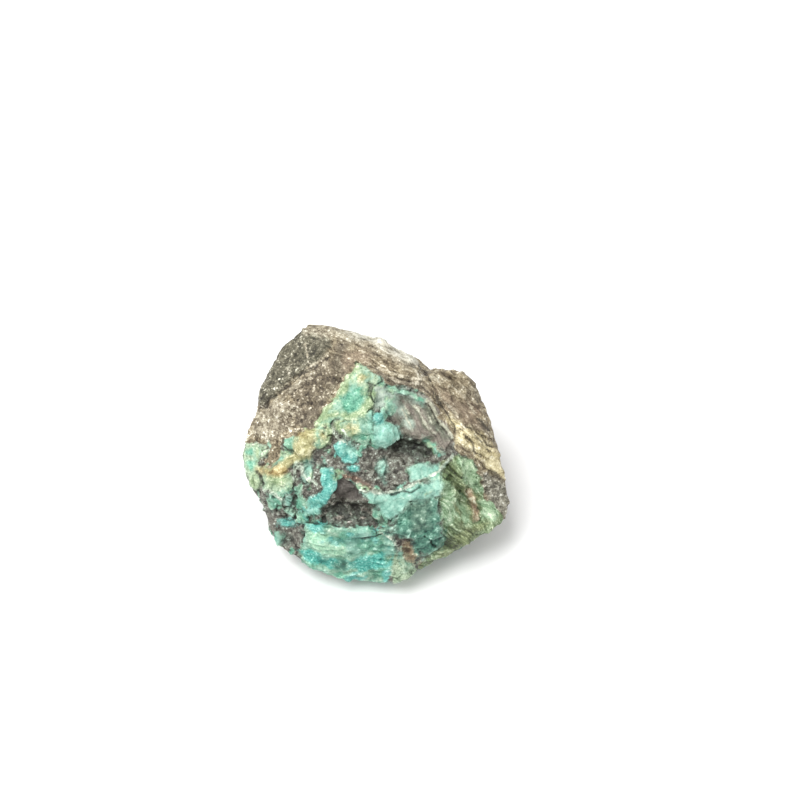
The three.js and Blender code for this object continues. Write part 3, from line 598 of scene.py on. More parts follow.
def cubeSphere(detail):
    # six square grids in the parameters a and b, closed into a cube and pushed out to the unit sphere
    t = np.tan(np.linspace(-np.pi / 4, np.pi / 4, detail + 1))
    a, b = np.meshgrid(t, t, indexing="ij")
    one = np.ones_like(a)
    grids = [(one, a, b), (-one, b, a), (b, one, a), (a, -one, b), (a, b, one), (b, a, -one)]
    points = np.concatenate([np.stack(grid, -1).reshape(-1, 3) for grid in grids])
    first = (np.arange(detail)[:, None] * (detail + 1) + np.arange(detail)).ravel()
    square = np.stack([first, first + detail + 1, first + detail + 2, first + 1], 1)
    squares = np.concatenate([square + side * (detail + 1) ** 2 for side in range(len(grids))])
    decimals = 9  # to which the points on the edge between two grids agree
    points, index = np.unique(np.round(points, decimals), axis=0, return_inverse=True)
    return points / np.linalg.norm(points, axis=1)[:, None], index.ravel()[squares]


def settle(points):
    # leans the face back about X and cuts the stone off flat where it rests
    lean = np.radians(90 - stone["faceLean"])
    x, y, z = points.T
    turned = np.stack([x, y * np.cos(lean) - z * np.sin(lean), y * np.sin(lean) + z * np.cos(lean)], 1)
    below = turned[:, 2] < -stone["restDepth"]
    turned[below] *= (-stone["restDepth"] / turned[below, 2])[:, None]
    turned[:, 2] = np.maximum(turned[:, 2] + stone["restDepth"], 0)
    return turned


def areaField(x, y, corners):
    # distance to a closed outline's nearest leg, positive where the outline winds round the point
    closed = corners + corners[:1]
    distance = besidePath(x, y, closed)[0]
    turns = 0
    for (ax, ay), (bx, by) in zip(closed, closed[1:]):
        cross = (ax - x) * (by - y) - (ay - y) * (bx - x)
        turns = turns + np.arctan2(cross, (ax - x) * (bx - x) + (ay - y) * (by - y))
    return np.where(np.abs(turns) > np.pi, distance, -distance)


def patchField(x, y, patch):
    # how far inside the nearest of a colour's patches a point lies, in millimetres
    field = np.full(x.shape, fray["farthest"])
    for corners in patch.get("areas", []):
        field = np.maximum(field, areaField(x, y, corners))
    for atX, atY, across, high, turn in patch.get("spots", []):
        share = moundShare(x, y, (atX, atY), (across, high), turn)
        field = np.maximum(field, (1 - share) * min(across, high))
    for path, halfWidth in patch.get("veins", []):
        field = np.maximum(field, halfWidth - besidePath(x, y, path)[0])
    return field


# How the colours' edges fray and stray. Waves are given as spacing, height and stream of random values.
fray = {
    "shared": [(2.7, 0.45, 30)],  # fray the edges of all colours alike
    "own": [(1.25, 0.75, 40)],  # fray each colour by itself, with a stream for each
    "follow": 0.5,  # how far the colours follow the waver of the relief's edges
    "farthest": -9.0,  # a field's least value, in millimetres
    "deepest": 4,  # and its greatest, in front of the outline
    "deepestBehind": 2.5,  # and behind it
    "fades": 0.45,  # how much a patch loses with each millimetre behind the outline
    "backFrom": 1,  # depth behind the outline where that begins
    "backWidth": 3,  # and over which the back's own stains come in
    "islandWaves": [(2.1, 1.9, 62), (0.9, 1, 63)],
    "islands": 0.75,  # how rare the mint islands in the open matrix are
    "islandsBare": 1.6,  # how much rarer where it is to stay bare
    "islandsGreen": 4,  # and on the green break
    "islandsEdge": (1, 0.5),  # width and outer share of the edges of those two
    "strayWaves": [(3.1, 2.1, 70), (1.1, 0.8, 110)],
    # colours that also stray where it is mint, and how rare they are there
    "stray": {"turquoise": 1.05, "teal": 1.5, "yellow": 1.3, "aqua": 0.8, "jade": 0.7},
    # parts of the face that a colour doesn't stray over: direction, start and width of the change
    "strayNot": {"yellow": [((0, -1), 10, 4)], "turquoise": [((0, 1), 0.5, 2.5), ((-1, 0), 17, 3)]},
    "stainWaves": [(11, 3.4, 31), (4, 1.5, 32), (1.7, 0.7, 33)],
    "stain": 1.9,  # how rare the crust is behind the outline
    "mintWaves": [(4, 2, 34)],
    "mintBehind": 0.3,  # how common mint is on it
    "absent": 3,  # how far below zero a field goes where its colour isn't to be
}


def colourFields(points):
    # each colour's field on the face, frayed by waves. Some colours also stray where it is mint, and behind
    # the outline stains of the crust go on
    strayX, strayY = waver(points)
    x = points[:, 0] + fray["follow"] * strayX
    y = points[:, 1] + fray["follow"] * strayY
    z = points[:, 2]
    behind = np.maximum(-z - fray["backFrom"], 0)
    back = ease((-z - fray["backFrom"]) / fray["backWidth"])
    shared = octaves(points, fray["shared"])
    fields = {}
    for index, (name, patch) in enumerate(patches.items()):
        field = np.minimum(patchField(x, y, patch), fray["deepest"])
        faded = np.minimum(field, fray["deepestBehind"]) - patch.get("fades", fray["fades"]) * behind
        field = np.where(z < 0, faded, field)
        fields[name] = field + patch.get("frays", 1) * (shared + octaves(points, fray["own"], index))

    bare = fields.pop("bare")
    islands = octaves(points, fray["islandWaves"]) - fray["islands"]
    edge = fray["islandsEdge"]
    islands -= fray["islandsBare"] * within(bare, edge) + fray["islandsGreen"] * within(fields["green"], edge)
    fields["mint"] = np.maximum(fields["mint"], islands)
    for index, (name, rare) in enumerate(fray["stray"].items()):
        stray = octaves(points, fray["strayWaves"], index) - rare
        stray -= sum(fray["absent"] * ease((x * towardsX + y * towardsY - start) / width)
                     for (towardsX, towardsY), start, width in fray["strayNot"].get(name, []))
        fields[name] = np.maximum(fields[name], np.minimum(stray, fields["mint"]))

    stain = octaves(points, fray["stainWaves"]) - fray["stain"]
    mintBehind = octaves(points, fray["mintWaves"]) + fray["mintBehind"]
    fields["crust"] = np.maximum(fields["crust"], stain * back - fray["absent"] * (1 - back))
    fields["mint"] = np.maximum(fields["mint"], mintBehind * back - fray["absent"] * (1 - back))
    layered = layeredField(x, y) + octaves(points, layers["border"])
    behindLayered = layered + layers["backLean"] * z + layers["backReach"] * back
    fields["layered"] = np.where(z < 0, behindLayered, layered)
    return fields


layers = {
    "faces": 55,  # the host rock breaks in layers in this direction of the face
    "start": 13,  # from here outwards
    "right": ((18, 6), (-5, 3), 9),  # and by so much sooner past this x and this y, each with its width
    "border": [(3.5, 2.4, 120)],  # waves of that border
    "backLean": 0.3,  # how it moves with depth behind the outline
    "backReach": 6,
    "middle": (-40, -60),  # the point that the host rock's layers curve round, on the face
    "radius": 90,  # distance from it at which lengths along them are true
    "lean": 0.3,  # how much they lean with height
    "shelfSlope": (0.12, 0.4),  # rise of the shelf's level lines to the right and outwards
    "shelfAlong": 1.5,  # how much shorter than the rings they are
    "slanted": {"slab": -54, "green": -50},  # direction of the slab's streaks and of the green break's ribs
    "slantedAlong": 0.55,  # share of their length along them: less than 1 draws them out
    "swirl": [(5, 1.3, 121)],  # waves of the lines on the crust
    "swirlHost": 0.3,  # share of them on the host rock
    "host": 0.3,  # height of the ribs where the layers break the surface
    "shelf": 0.26,  # and of the level ribs across the shelf
    "green": 0.4,
}


def layeredField(x, y):
    # how far a point lies inside the part of the host rock that breaks in layers, towards the top right
    (fromX, widthX), (fromY, widthY), reach = layers["right"]
    right = reach * ease((x - fromX) / widthX) * ease((y - fromY) / widthY)
    return heading(x, y, layers["faces"]) - layers["start"] + right


def layering(points, fields):
    # place across, along and out of the layers: rings round a point in the host rock, level lines across the
    # shelf, and slanting lines on the slab and the green break
    x, y, z = points.T
    middleX, middleY = layers["middle"]
    away = np.hypot(x - middleX, y - middleY)
    along = np.arctan2(y - middleY, x - middleX) * layers["radius"]
    swirl = octaves(points, layers["swirl"])
    rings = away + layers["lean"] * z + layers["swirlHost"] * swirl
    rings = np.stack([rings, along, z - layers["lean"] * away], 1)
    slopeX, slopeZ = layers["shelfSlope"]
    level = np.stack([y + slopeX * x + slopeZ * z + swirl, layers["shelfAlong"] * x, z], 1)
    placed = np.where((fields["crust"] > 0)[:, None], level, rings)
    for name, run in layers["slanted"].items():
        across = heading(x, y, run + 90) + layers["lean"] * z + swirl
        slanted = np.stack([across, layers["slantedAlong"] * heading(x, y, run), z], 1)
        placed = np.where((fields[name] > 0)[:, None], slanted, placed)
    return placed


def nearestTwo(points, spacing, stream):
    # distances to the nearest two middles of a jittered lattice, in spacings
    scaled = points / spacing
    base = np.floor(scaled)
    nearest, second = np.full((2, len(points)), np.inf)
    for offset in itertools.product((-1, 0, 1), repeat=3):
        cell = base + offset
        jitter = np.stack([randomAt(cell, stream + axis) for axis in range(3)], 1)
        away = np.sqrt(((scaled - cell - 0.5 - lattice["jitter"] * jitter) ** 2).sum(1))
        second = np.minimum(second, np.maximum(nearest, away))
        nearest = np.minimum(nearest, away)
    return nearest, second


cracking = {
    "bend": [(2.2, 0.7, 90)],  # waves that bend all cracks, in x, y and z
    "blocks": (4.6, 94, 2.3),  # cells with cracked borders: spacing, stream and scale of the distance
    "pebbles": (3.1, 130, 2.2),  # and small ones among the nodules on the left
    "pebblesOnly": ((16, 4), (6, 4)),  # how far left and how far down those begin, each with its width
    # what is added to the distance where the stone is whole: waves, shift and reach
    "whole": ([(6, 1.3, 98)], 0.8, 1.6),
    "wholePebbles": ([(3.4, 1.5, 97)], 0.4, 1.6),
    "wholeFoot": (17, 2),  # the foot is whole from this far down, with its width
    "solid": ("green", "aqua", "slab", "teal", "umber", "rust"),  # colours that are whole
    "solidEdge": (1, 0.3),
    "layeredEdge": (3, 0),  # the layered rock is whole too, outside the crust
    "pebblesBeyond": 2,  # what pushes the small cells' cracks apart elsewhere
    "never": 9.0,  # distance that stands for no crack
    "broken": ([(1.6, 1, 99)], 0.36),  # waves that interrupt the drawn cracks, and how much
    "depth": 0.5,
    "halfWidth": 0.34,
    "onHost": 0.35,  # share of the depth that cracks have on the host rock
}


def crackField(points, fields):
    # distance to the nearest crack: the borders of a jittered lattice's cells where the stone isn't whole,
    # those of smaller cells among the nodules on the left, and the cracks drawn on the face
    x, y, z = points.T
    bent = points + np.stack([octaves(points, cracking["bend"], axis) for axis in range(3)], 1)
    wholes = []
    for key in ("whole", "wholePebbles"):
        table, shift, reach = cracking[key]
        wholes.append(reach * ease(octaves(points, table) + shift))
    footFrom, footWidth = cracking["wholeFoot"]
    solid = wholes[0] + ease((-y - footFrom) / footWidth)
    solid = solid + sum(within(fields[name], cracking["solidEdge"]) for name in cracking["solid"])
    solid = solid + ease(-fields["crust"]) * within(fields["layered"], cracking["layeredEdge"])

    spacing, stream, width = cracking["blocks"]
    nearest, second = nearestTwo(bent, spacing, stream)
    blocks = (second - nearest) * width + solid
    spacing, stream, width = cracking["pebbles"]
    nearest, second = nearestTwo(bent, spacing, stream)
    (leftFrom, leftWidth), (downFrom, downWidth) = cracking["pebblesOnly"]
    among = ease((-x - leftFrom) / leftWidth) * ease((-y - downFrom) / downWidth)
    whole = cracking["pebblesBeyond"] * (1 - among) + wholes[1]
    pebbles = (second - nearest) * width + whole

    drawn = np.full(x.shape, cracking["never"])
    for path in gaps:
        drawn = np.minimum(drawn, besidePath(bent[:, 0], bent[:, 1], path)[0])
    table, interruption = cracking["broken"]
    drawn = drawn + interruption * ease(octaves(points, table)) + cracking["never"] * (z < 0)
    return np.minimum(np.minimum(blocks, drawn), pebbles)


# Small relief by what the surface is made of. Waves are given as spacing, height and stream of random values.
grit = {
    "covered": ("mint", "sage", "aqua", "turquoise", "lagoon", "teal", "yellow", "gold", "rust"),
    "host": [(0.75, 0.17, 21)],
    "hostChips": (1.4, 0.24),  # broken grains: spacing and height
    "hostLayered": 0.65,  # share of them that is lost where the rock breaks in layers
    "matrix": [(1.2, 0.32, 24), (0.6, 0.17, 25)],
    "matrixSink": 0.25,
    "crust": [(1.9, 0.16, 26), (0.7, 0.1, 27)],
    "crustRise": 0.12,
    "knobs": (1.5, 100, 0.7, 0.2),  # round knobs on the crust: spacing, stream, radius in spacings and height
    "knobsLost": 0.85,  # share of them that is lost on the smooth colours
    "smooth": ("aqua", "teal"),
    "smoothEdge": (1, 0),
    "rough": (5.5, 29),  # some parts are rougher than others: spacing and stream
    "roughEdge": (1, 0.5),
    "roughness": (0.65, 0.7),  # least roughness, and how much more there can be
    "ribs": ((1.3, 7, 4), 22, 2.2, 0.7),  # sizes, stream, sharpness and height of the crests
    "fineRibs": ((0.6, 3.5, 2.5), 28, 0.9),  # sizes, stream and height
    "shelfFrom": (18, 2),  # the level ribs begin this far down, with the width over which they do
    # width and outer share of each patch's edge, and how far behind the outline two of them go
    "edges": {"crust": (0.8, 0.5), "slab": (1.2, 0.3), "green": (0.8, 0.4), "layered": (3, 0.5)},
    "coveredEdge": (0.5, 0.5),
    "behind": {"slab": 0, "green": -4},
    # veins and chips that stand up: height, width of their edge, and how much of it lies outside
    "raised": {"ledge": (0.35, 0.5, 0.7), "streak": (0.22, 0.4, 0.7), "chip": (0.3, 0.5, 0.6)},
    "swollen": (("yellow", "gold"), 0.25, 2.5, 0.4),  # colours that swell towards their middle
}


def fineRelief(points, fields, cracks):
    # small relief along the normal: broken grains on the host rock, ribs where its layers come out, pits in
    # the matrix, knobs on the crust, and grooves along the cracks
    y, z = points[:, 1], points[:, 2]
    crust, slab, green, layered = (within(fields[name], edge) for name, edge in grit["edges"].items())
    slab = slab * (z > grit["behind"]["slab"])
    green = green * (z > grit["behind"]["green"])
    host = 1 - crust
    layered = host * layered
    covered = np.max([fields[name] for name in grit["covered"]], axis=0)
    covered = within(covered, grit["coveredEdge"]) * crust * (1 - slab)
    matrix = crust * (1 - covered) * (1 - slab) * (1 - green)
    start, width = grit["shelfFrom"]
    shelf = ease((-y - start) / width) * crust * (1 - green)

    placed = layering(points, fields)
    size, stream, sharpness, crest = grit["ribs"]
    ribs = crest - sharpness * np.abs(waves(placed / np.array(size), 1, stream))
    size, stream, height = grit["fineRibs"]
    ribs = ribs + height * waves(placed / np.array(size), 1, stream)
    spacing, stream, radius, knobHeight = grit["knobs"]
    nearest = nearestTwo(points, spacing, stream)[0]
    smooth = within(np.maximum(*[fields[name] for name in grit["smooth"]]), grit["smoothEdge"])
    knobs = (1 - (nearest / radius) ** 2) * (1 - grit["knobsLost"] * smooth)
    least, more = grit["roughness"]
    rough = least + more * within(waves(points, *grit["rough"]), grit["roughEdge"])

    spacing, chipHeight = grit["hostChips"]
    grains = chipHeight * chips(points, spacing) + octaves(points, grit["host"])
    height = host * (1 - grit["hostLayered"] * layered) * rough * grains
    height += ribs * (layered * layers["host"] + shelf * layers["shelf"] + green * layers["green"])
    height += matrix * (octaves(points, grit["matrix"]) - grit["matrixSink"])
    height += covered * (grit["crustRise"] + rough * (knobHeight * knobs + octaves(points, grit["crust"])))
    for name, (top, *edge) in grit["raised"].items():
        height += top * within(fields[name], edge)
    names, top, *edge = grit["swollen"]
    height += top * within(np.maximum(*[fields[name] for name in names]), edge) * crust
    onHost = cracking["onHost"]
    opened = cracking["depth"] * np.exp(-(cracks / cracking["halfWidth"]) ** 2)
    return height - opened * (onHost + (1 - onHost) * crust)


def normals(points, squares):
    # each point's normal: the sum of the cross products of its squares' diagonals
    a, b, c, d = (points[squares[:, corner]] for corner in range(4))
    face = np.cross(c - a, d - b)
    total = np.stack([np.bincount(squares.ravel(), np.repeat(face[:, axis], 4), len(points))
                      for axis in range(3)], 1)
    return total / np.linalg.norm(total, axis=1)[:, None]


def newObject(name, data):
    # an object in the scene, at the origin
    made = bpy.data.objects.new(name, data)
    bpy.context.scene.collection.objects.link(made)
    return made


def buildStone():
    # a sphere pushed out to the stone's skin, given its fields and its small relief, leaned back and set down
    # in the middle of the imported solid's box
    sphere, squares = cubeSphere(stone["detail"])
    ray = sphere + np.array([0, 0, stone["crowding"]])
    ray /= np.linalg.norm(ray, axis=1)[:, None]
    face = skin(ray)
    fields = colourFields(face)
    cracks = crackField(face, fields)
    relief = fineRelief(face, fields, cracks)
    directions = layering(face, fields)
    face = face + normals(face, squares) * relief[:, None]
    placed = settle(face)
    low, high = placed.min(0), placed.max(0)
    cadLow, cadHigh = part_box("stone")
    shift = (np.array(cadLow + cadHigh) / mm - low - high) / 2
    shift[2] = 0
    placed += shift
    mesh = bpy.data.meshes.new("chrysocollaStone")
    mesh.from_pydata((placed * mm).tolist(), [], squares.tolist())
    for name, field in (*fields.items(), ("cracks", cracks), ("relief", relief)):
        mesh.attributes.new(name, "FLOAT", "POINT").data.foreach_set("value", field.astype(np.float32))
    stored = mesh.attributes.new("layering", "FLOAT_VECTOR", "POINT")
    stored.data.foreach_set("vector", directions.astype(np.float32).ravel())
    mesh.update()
    print("stone:", 2 * len(squares), "triangles, box", placed.min(0).round(2), placed.max(0).round(2))
    return newObject("chrysocollaStone", mesh), shift


class Value:
    # wraps a shader socket, so that an expression on values adds its Math nodes
    def __init__(self, shader, socket):
        self.shader, self.socket = shader, socket

    def math(self, operation, *others):
        # one Math node on this value and the others
        return self.shader.node("Math", {"operation": operation}, dict(enumerate((self,) + others)))

    def __add__(self, other):
        return self.math("ADD", other)

    def __sub__(self, other):
        return self.math("SUBTRACT", other)

    def __rsub__(self, other):
        return self.shader.node("Math", {"operation": "SUBTRACT"}, {0: other, 1: self})

    def __mul__(self, other):
        return self.math("MULTIPLY", other)

    __radd__, __rmul__ = __add__, __mul__

    def over(self, low, high):
        # 0 at low, 1 at high, eased between
        settings = {"interpolation_type": "SMOOTHSTEP"}
        return self.shader.node("MapRange", settings, {0: self, 1: low, 2: high, 3: 0.0, 4: 1.0})


class Shader:
    # one material's nodes
    def __init__(self, name):
        self.material = bpy.data.materials.new(name)
        self.material.use_nodes = True
        self.tree = self.material.node_tree
        self.surface = self.tree.nodes["Principled BSDF"]

    def feed(self, socket, value):
        # links a value to a socket, or sets the socket to a number or a colour
        if isinstance(value, Value):
            self.tree.links.new(value.socket, socket)
        else:
            socket.default_value = value

    def node(self, kind, settings, inputs, output=0):
        # adds a node of that kind with its settings, then its inputs' values or links
        made = self.tree.nodes.new("ShaderNode" + kind)
        for key, value in settings.items():
            if key == "stops":
                self.setStops(made.color_ramp, value)
            else:
                setattr(made, key, value)
        for key, value in inputs.items():
            self.feed(made.inputs[key], value)
        return Value(self, made.outputs[output])

    def setStops(self, ramp, stops):
        # a colour ramp starts with two stops, and the others are added to it
        for _ in stops[2:]:
            ramp.elements.new(0.5)
        for element, (place, *seen) in zip(ramp.elements, stops):
            element.position, element.color = place, tone(*seen)

    def noise(self, place, size, detail, roughness):
        # soft noise about 0, whose lumps are about that many millimetres across
        inputs = {"Vector": place, "Scale": 1 / size, "Detail": detail, "Roughness": roughness}
        return self.node("TexNoise", {}, inputs) - 0.5

    def grains(self, place, size):
        # a random value for each grain of about that many millimetres
        cells = self.node("TexVoronoi", {"feature": "F1"}, {"Vector": place, "Scale": 1 / size}, 1)
        return self.node("SeparateColor", {}, {0: cells})

    def ramp(self, factor, stops):
        # the tone at a factor, between the stops next to it
        return self.node("ValToRGB", {"stops": stops}, {0: factor})

    def mix(self, factor, a, b, blend="MIX"):
        # from one colour to another by a factor; they are the Mix node's inputs 6 and 7, and its output 2
        return self.node("Mix", {"data_type": "RGBA", "blend_type": blend}, {0: factor, 6: a, 7: b}, 2)

    def blend(self, factor, a, b):
        # from one value to another by a factor; they are the Mix node's inputs 2 and 3
        return self.node("Mix", {"data_type": "FLOAT"}, {0: factor, 2: a, 3: b})

    def field(self, name):
        # one of the mesh's own attributes
        return self.node("Attribute", {"attribute_name": name}, {}, 2)

    def finish(self, **inputs):
        # gives the surface its inputs, by names with underscores for spaces
        for key, value in inputs.items():
            self.feed(self.surface.inputs[key.replace("_", " ")], value)
        return self.material


def tone(red, green, blue):
    # a colour as seen on a screen, 0 to 255, made linear
    seen = np.array([red, green, blue]) / 255
    linear = np.where(seen <= 0.04045, seen / 12.92, ((seen + 0.055) / 1.055) ** 2.4)
    return (*linear.tolist(), 1.0)


# Patterns in the rock. Noise is given as the size of its lumps in millimetres, its detail and its roughness,
# and grains by their size.
patterns = {
    "noise": {"blotch": (3.2, 3, 0.55), "lump": (1.3, 3, 0.6), "speckle": (0.42, 3, 0.65)},
    "alongLayers": {"ribs": (0.62, 4, 0.7), "streaks": (1.7, 3, 0.6)},
    "layerStretch": (1.0, 0.28, 0.4),  # how close these two lie across, along and out of the layers
    "grains": {"grain": 0.8, "fineGrain": 0.42},
    "fleck": (0.8, 0.95),  # single pale grains, partly painted glints, are the fine grains above this value
    "vein": (1.9, 2, 0.55),  # noise whose zero lines are the thin dark lines between the crust's lobes
    "veinletWidth": 0.05,
    "border": {"lump": 1.2, "speckle": 1.3},  # what breaks up the edges between colours
}

# What chooses between a coat's darkest tone and its palest: a start, and how much each pattern adds to it.
# With "relief" the tones grow darker in pits and cracks and paler on crests, by the fine relief's height.
mixtures = {
    "host": (0.1, {
        "grain": 0.4, "fineGrain": 0.2, "fleck": 0.25, "blotch": 0.6, "speckle": 1, "relief": 0.5}),
    "layered": (0.44, {
        "ribs": 2, "streaks": 0.7, "fleck": 0.2, "speckle": 1.1, "blotch": 0.25, "relief": 0.3}),
    "crust": (0.47, {
        "speckle": 1.1, "lump": 1.2, "blotch": 0.6, "fleck": 0.15, "relief": 0.6, "veinlet": -0.25}),
    "smooth": (0.47, {"speckle": 0.6, "lump": 1, "blotch": 0.6, "relief": 0.6, "veinlet": -0.1}),
    "matrix": (0.38, {
        "fineGrain": 0.2, "fleck": 0.2, "speckle": 0.9, "lump": 1.5, "blotch": 0.5, "relief": 0.5}),
}

# Two mixtures blended: the first, the second and the share of the second.
blends = {"shelf": ("crust", "layered", 0.55), "slab": ("smooth", "layered", 0.6)}

# A mixture with more of one of its patterns.
stirs = {
    "streaky": ("layered", "streaks", 0.5),
    "lumpy": ("smooth", "lump", 0.6),
    "lumpiest": ("smooth", "lump", 1),
}

# What lies under the coats, as stops from the darkest tone to the palest: places, and colours as seen on a
# screen.
grounds = {
    "host": [(0, 56, 46, 34), (0.25, 96, 86, 67), (0.5, 137, 125, 101), (0.75, 178, 168, 142),
             (1, 240, 236, 218)],
    "matrix": [(0, 38, 36, 32), (0.25, 77, 74, 66), (0.5, 113, 112, 102), (0.75, 147, 150, 138),
               (0.9, 178, 187, 175), (1, 232, 238, 228)],
}

# Coats on them, in the order in which they lie: the mixture, the half width of the edge, how far the edge is
# moved out, how much of what is under it a coat hides, and its stops.
hostCoats = {
    "shoulder": ("host", 0.8, 0, 1, [(0, 32, 30, 23), (0.25, 69, 66, 53), (0.55, 107, 103, 86),
        (0.8, 153, 149, 129), (1, 224, 222, 206)]),
    "brown": ("host", 0.9, 0, 1, [(0, 40, 34, 27), (0.25, 78, 69, 56), (0.55, 114, 104, 85),
        (0.8, 156, 146, 124), (1, 228, 222, 204)]),
    "greyEnd": ("host", 0.9, 0, 1, [(0, 56, 54, 46), (0.25, 102, 99, 86), (0.55, 144, 141, 126),
        (0.8, 182, 180, 165), (1, 232, 232, 220)]),
    "darkband": ("host", 0.7, 0, 1, [(0, 46, 40, 33), (0.25, 86, 77, 64), (0.6, 124, 115, 97),
        (0.85, 160, 151, 130), (1, 226, 218, 196)]),
    "pink": ("host", 1.1, 0, 0.8, [(0, 66, 53, 42), (0.25, 109, 94, 77), (0.6, 146, 131, 110),
        (0.85, 180, 166, 143), (1, 236, 226, 204)]),
    "cream": ("host", 0.8, 0, 0.85, [(0, 68, 58, 46), (0.25, 116, 107, 89), (0.5, 154, 146, 126),
        (0.75, 192, 186, 165), (1, 242, 240, 228)]),
    "straw": ("host", 0.9, 0, 0.9, [(0, 98, 88, 62), (0.25, 163, 150, 113), (0.5, 209, 198, 157),
        (0.75, 233, 224, 187), (1, 250, 246, 230)]),
    # painted highlight along the top edge
    "fringe": ("host", 1.2, 0, 0.9, [(0, 112, 108, 92), (0.25, 168, 164, 147), (0.5, 204, 201, 186),
        (0.75, 220, 218, 204), (1, 242, 241, 232)]),
    "scratch": ("host", 0.35, -0.05, 1, [(0, 118, 110, 90), (0.4, 174, 166, 144), (1, 234, 228, 208)]),
}
crustCoats = {
    "slab": ("slab", 0.5, 0, 1, [(0, 70, 64, 56), (0.25, 102, 95, 86), (0.5, 132, 124, 113),
        (0.75, 158, 152, 139), (1, 222, 216, 202)]),
    "dusk": ("slab", 0.9, 0, 1, [(0, 52, 56, 44), (0.3, 78, 82, 68), (0.6, 104, 107, 91),
        (1, 166, 174, 152)]),
    "umber": ("smooth", 0.5, 0, 1, [(0, 46, 41, 37), (0.25, 70, 65, 60), (0.5, 89, 84, 78),
        (0.75, 107, 102, 95), (1, 168, 164, 155)]),
    "mist": ("smooth", 1, 0, 0.9, [(0, 86, 103, 92), (0.25, 135, 152, 140), (0.5, 171, 187, 172),
        (0.75, 196, 211, 195), (1, 226, 236, 222)]),
    "streak": ("slab", 0.35, -0.05, 1, [(0, 112, 112, 94), (0.35, 148, 148, 128), (0.7, 184, 184, 164),
        (1, 228, 228, 212)]),
    "mint": ("shelf", 0.3, 0, 1, [(0, 52, 92, 76), (0.25, 94, 136, 114), (0.5, 128, 166, 142),
        (0.75, 160, 190, 166), (1, 214, 230, 208)]),
    "sage": ("crust", 0.5, 0, 1, [(0, 72, 88, 67), (0.25, 116, 137, 111), (0.5, 151, 172, 143),
        (0.75, 181, 199, 170), (1, 225, 234, 210)]),
    "foam": ("shelf", 0.9, 0, 1, [(0, 80, 116, 92), (0.25, 120, 162, 134), (0.5, 148, 192, 162),
        (0.75, 174, 212, 182), (1, 222, 240, 214)]),
    "jade": ("shelf", 0.7, 0, 1, [(0, 30, 88, 70), (0.25, 66, 130, 106), (0.5, 96, 158, 132),
        (0.75, 128, 186, 158), (1, 190, 232, 204)]),
    "green": ("streaky", 0.6, 0, 1, [(0, 40, 52, 30), (0.25, 84, 103, 66), (0.5, 126, 145, 109),
        (0.75, 169, 188, 150), (1, 234, 240, 210)]),
    "lime": ("layered", 0.5, 0, 1, [(0, 76, 102, 72), (0.3, 122, 151, 115), (0.6, 160, 188, 153),
        (1, 232, 243, 216)]),
    "celery": ("layered", 0.7, 0, 1, [(0, 100, 126, 92), (0.3, 144, 174, 136), (0.6, 178, 206, 168),
        (1, 234, 245, 218)]),
    "olive": ("layered", 0.7, 0, 1, [(0, 42, 48, 30), (0.3, 84, 94, 61), (0.6, 122, 134, 93),
        (1, 192, 204, 160)]),
    "aqua": ("smooth", 0.9, 0, 1, [(0, 66, 116, 102), (0.25, 102, 152, 136), (0.5, 132, 178, 161),
        (0.75, 158, 198, 180), (1, 208, 234, 218)]),
    "turquoise": ("shelf", 0.5, 0, 1, [(0, 18, 86, 82), (0.25, 55, 132, 123), (0.5, 91, 165, 153),
        (0.75, 130, 193, 180), (1, 202, 241, 230)]),
    "lagoon": ("shelf", 0.6, 0, 1, [(0, 10, 72, 68), (0.25, 34, 116, 106), (0.5, 62, 149, 136),
        (0.75, 102, 180, 165), (1, 184, 236, 222)]),
    "teal": ("lumpiest", 1.3, 0, 1, [(0, 18, 52, 45), (0.25, 41, 86, 73), (0.5, 67, 116, 98),
        (0.75, 100, 148, 128), (1, 180, 222, 202)]),
    "moss": ("lumpy", 1.5, 0, 0.7, [(0, 32, 58, 48), (0.25, 60, 88, 74), (0.5, 88, 114, 97),
        (0.75, 124, 146, 127), (1, 204, 216, 196)]),
    # partly painted highlight: the palest aqua of the bright lump
    "glint": ("smooth", 0.9, 0, 0.9, [(0, 68, 132, 116), (0.25, 118, 180, 162), (0.5, 154, 206, 188),
        (0.75, 182, 226, 210), (1, 224, 246, 234)]),
    "yellow": ("crust", 0.8, 0, 0.95, [(0, 78, 94, 58), (0.25, 104, 126, 86), (0.5, 131, 152, 111),
        (0.75, 156, 174, 134), (1, 204, 216, 180)]),
    "gold": ("crust", 0.9, 0, 1, [(0, 86, 78, 44), (0.25, 118, 112, 72), (0.5, 144, 140, 96),
        (0.75, 168, 164, 120), (1, 214, 210, 170)]),
    # pale lines: painted highlight on rims and edges, and a few real pale chips
    "ledge": ("crust", 0.3, -0.05, 1, [(0, 94, 102, 88), (0.35, 142, 152, 136), (0.7, 182, 194, 176),
        (1, 228, 236, 222)]),
    "ochre": ("crust", 1.1, 0, 0.8, [(0, 100, 74, 38), (0.3, 136, 110, 62), (0.7, 170, 148, 96),
        (1, 220, 206, 158)]),
    "rust": ("crust", 0.5, 0, 1, [(0, 76, 56, 44), (0.3, 124, 102, 80), (0.65, 172, 152, 122),
        (1, 234, 228, 200)]),
    "sienna": ("matrix", 0.5, 0, 1, [(0, 54, 42, 35), (0.4, 92, 76, 65), (0.75, 124, 104, 89),
        (1, 206, 188, 168)]),
}
hollowCoats = {  # these lie over the painted shade of the hollows
    "chip": ("crust", 0.4, -0.1, 1, [(0, 78, 71, 64), (0.35, 128, 120, 110), (0.7, 184, 176, 165),
        (1, 240, 235, 227)]),
}

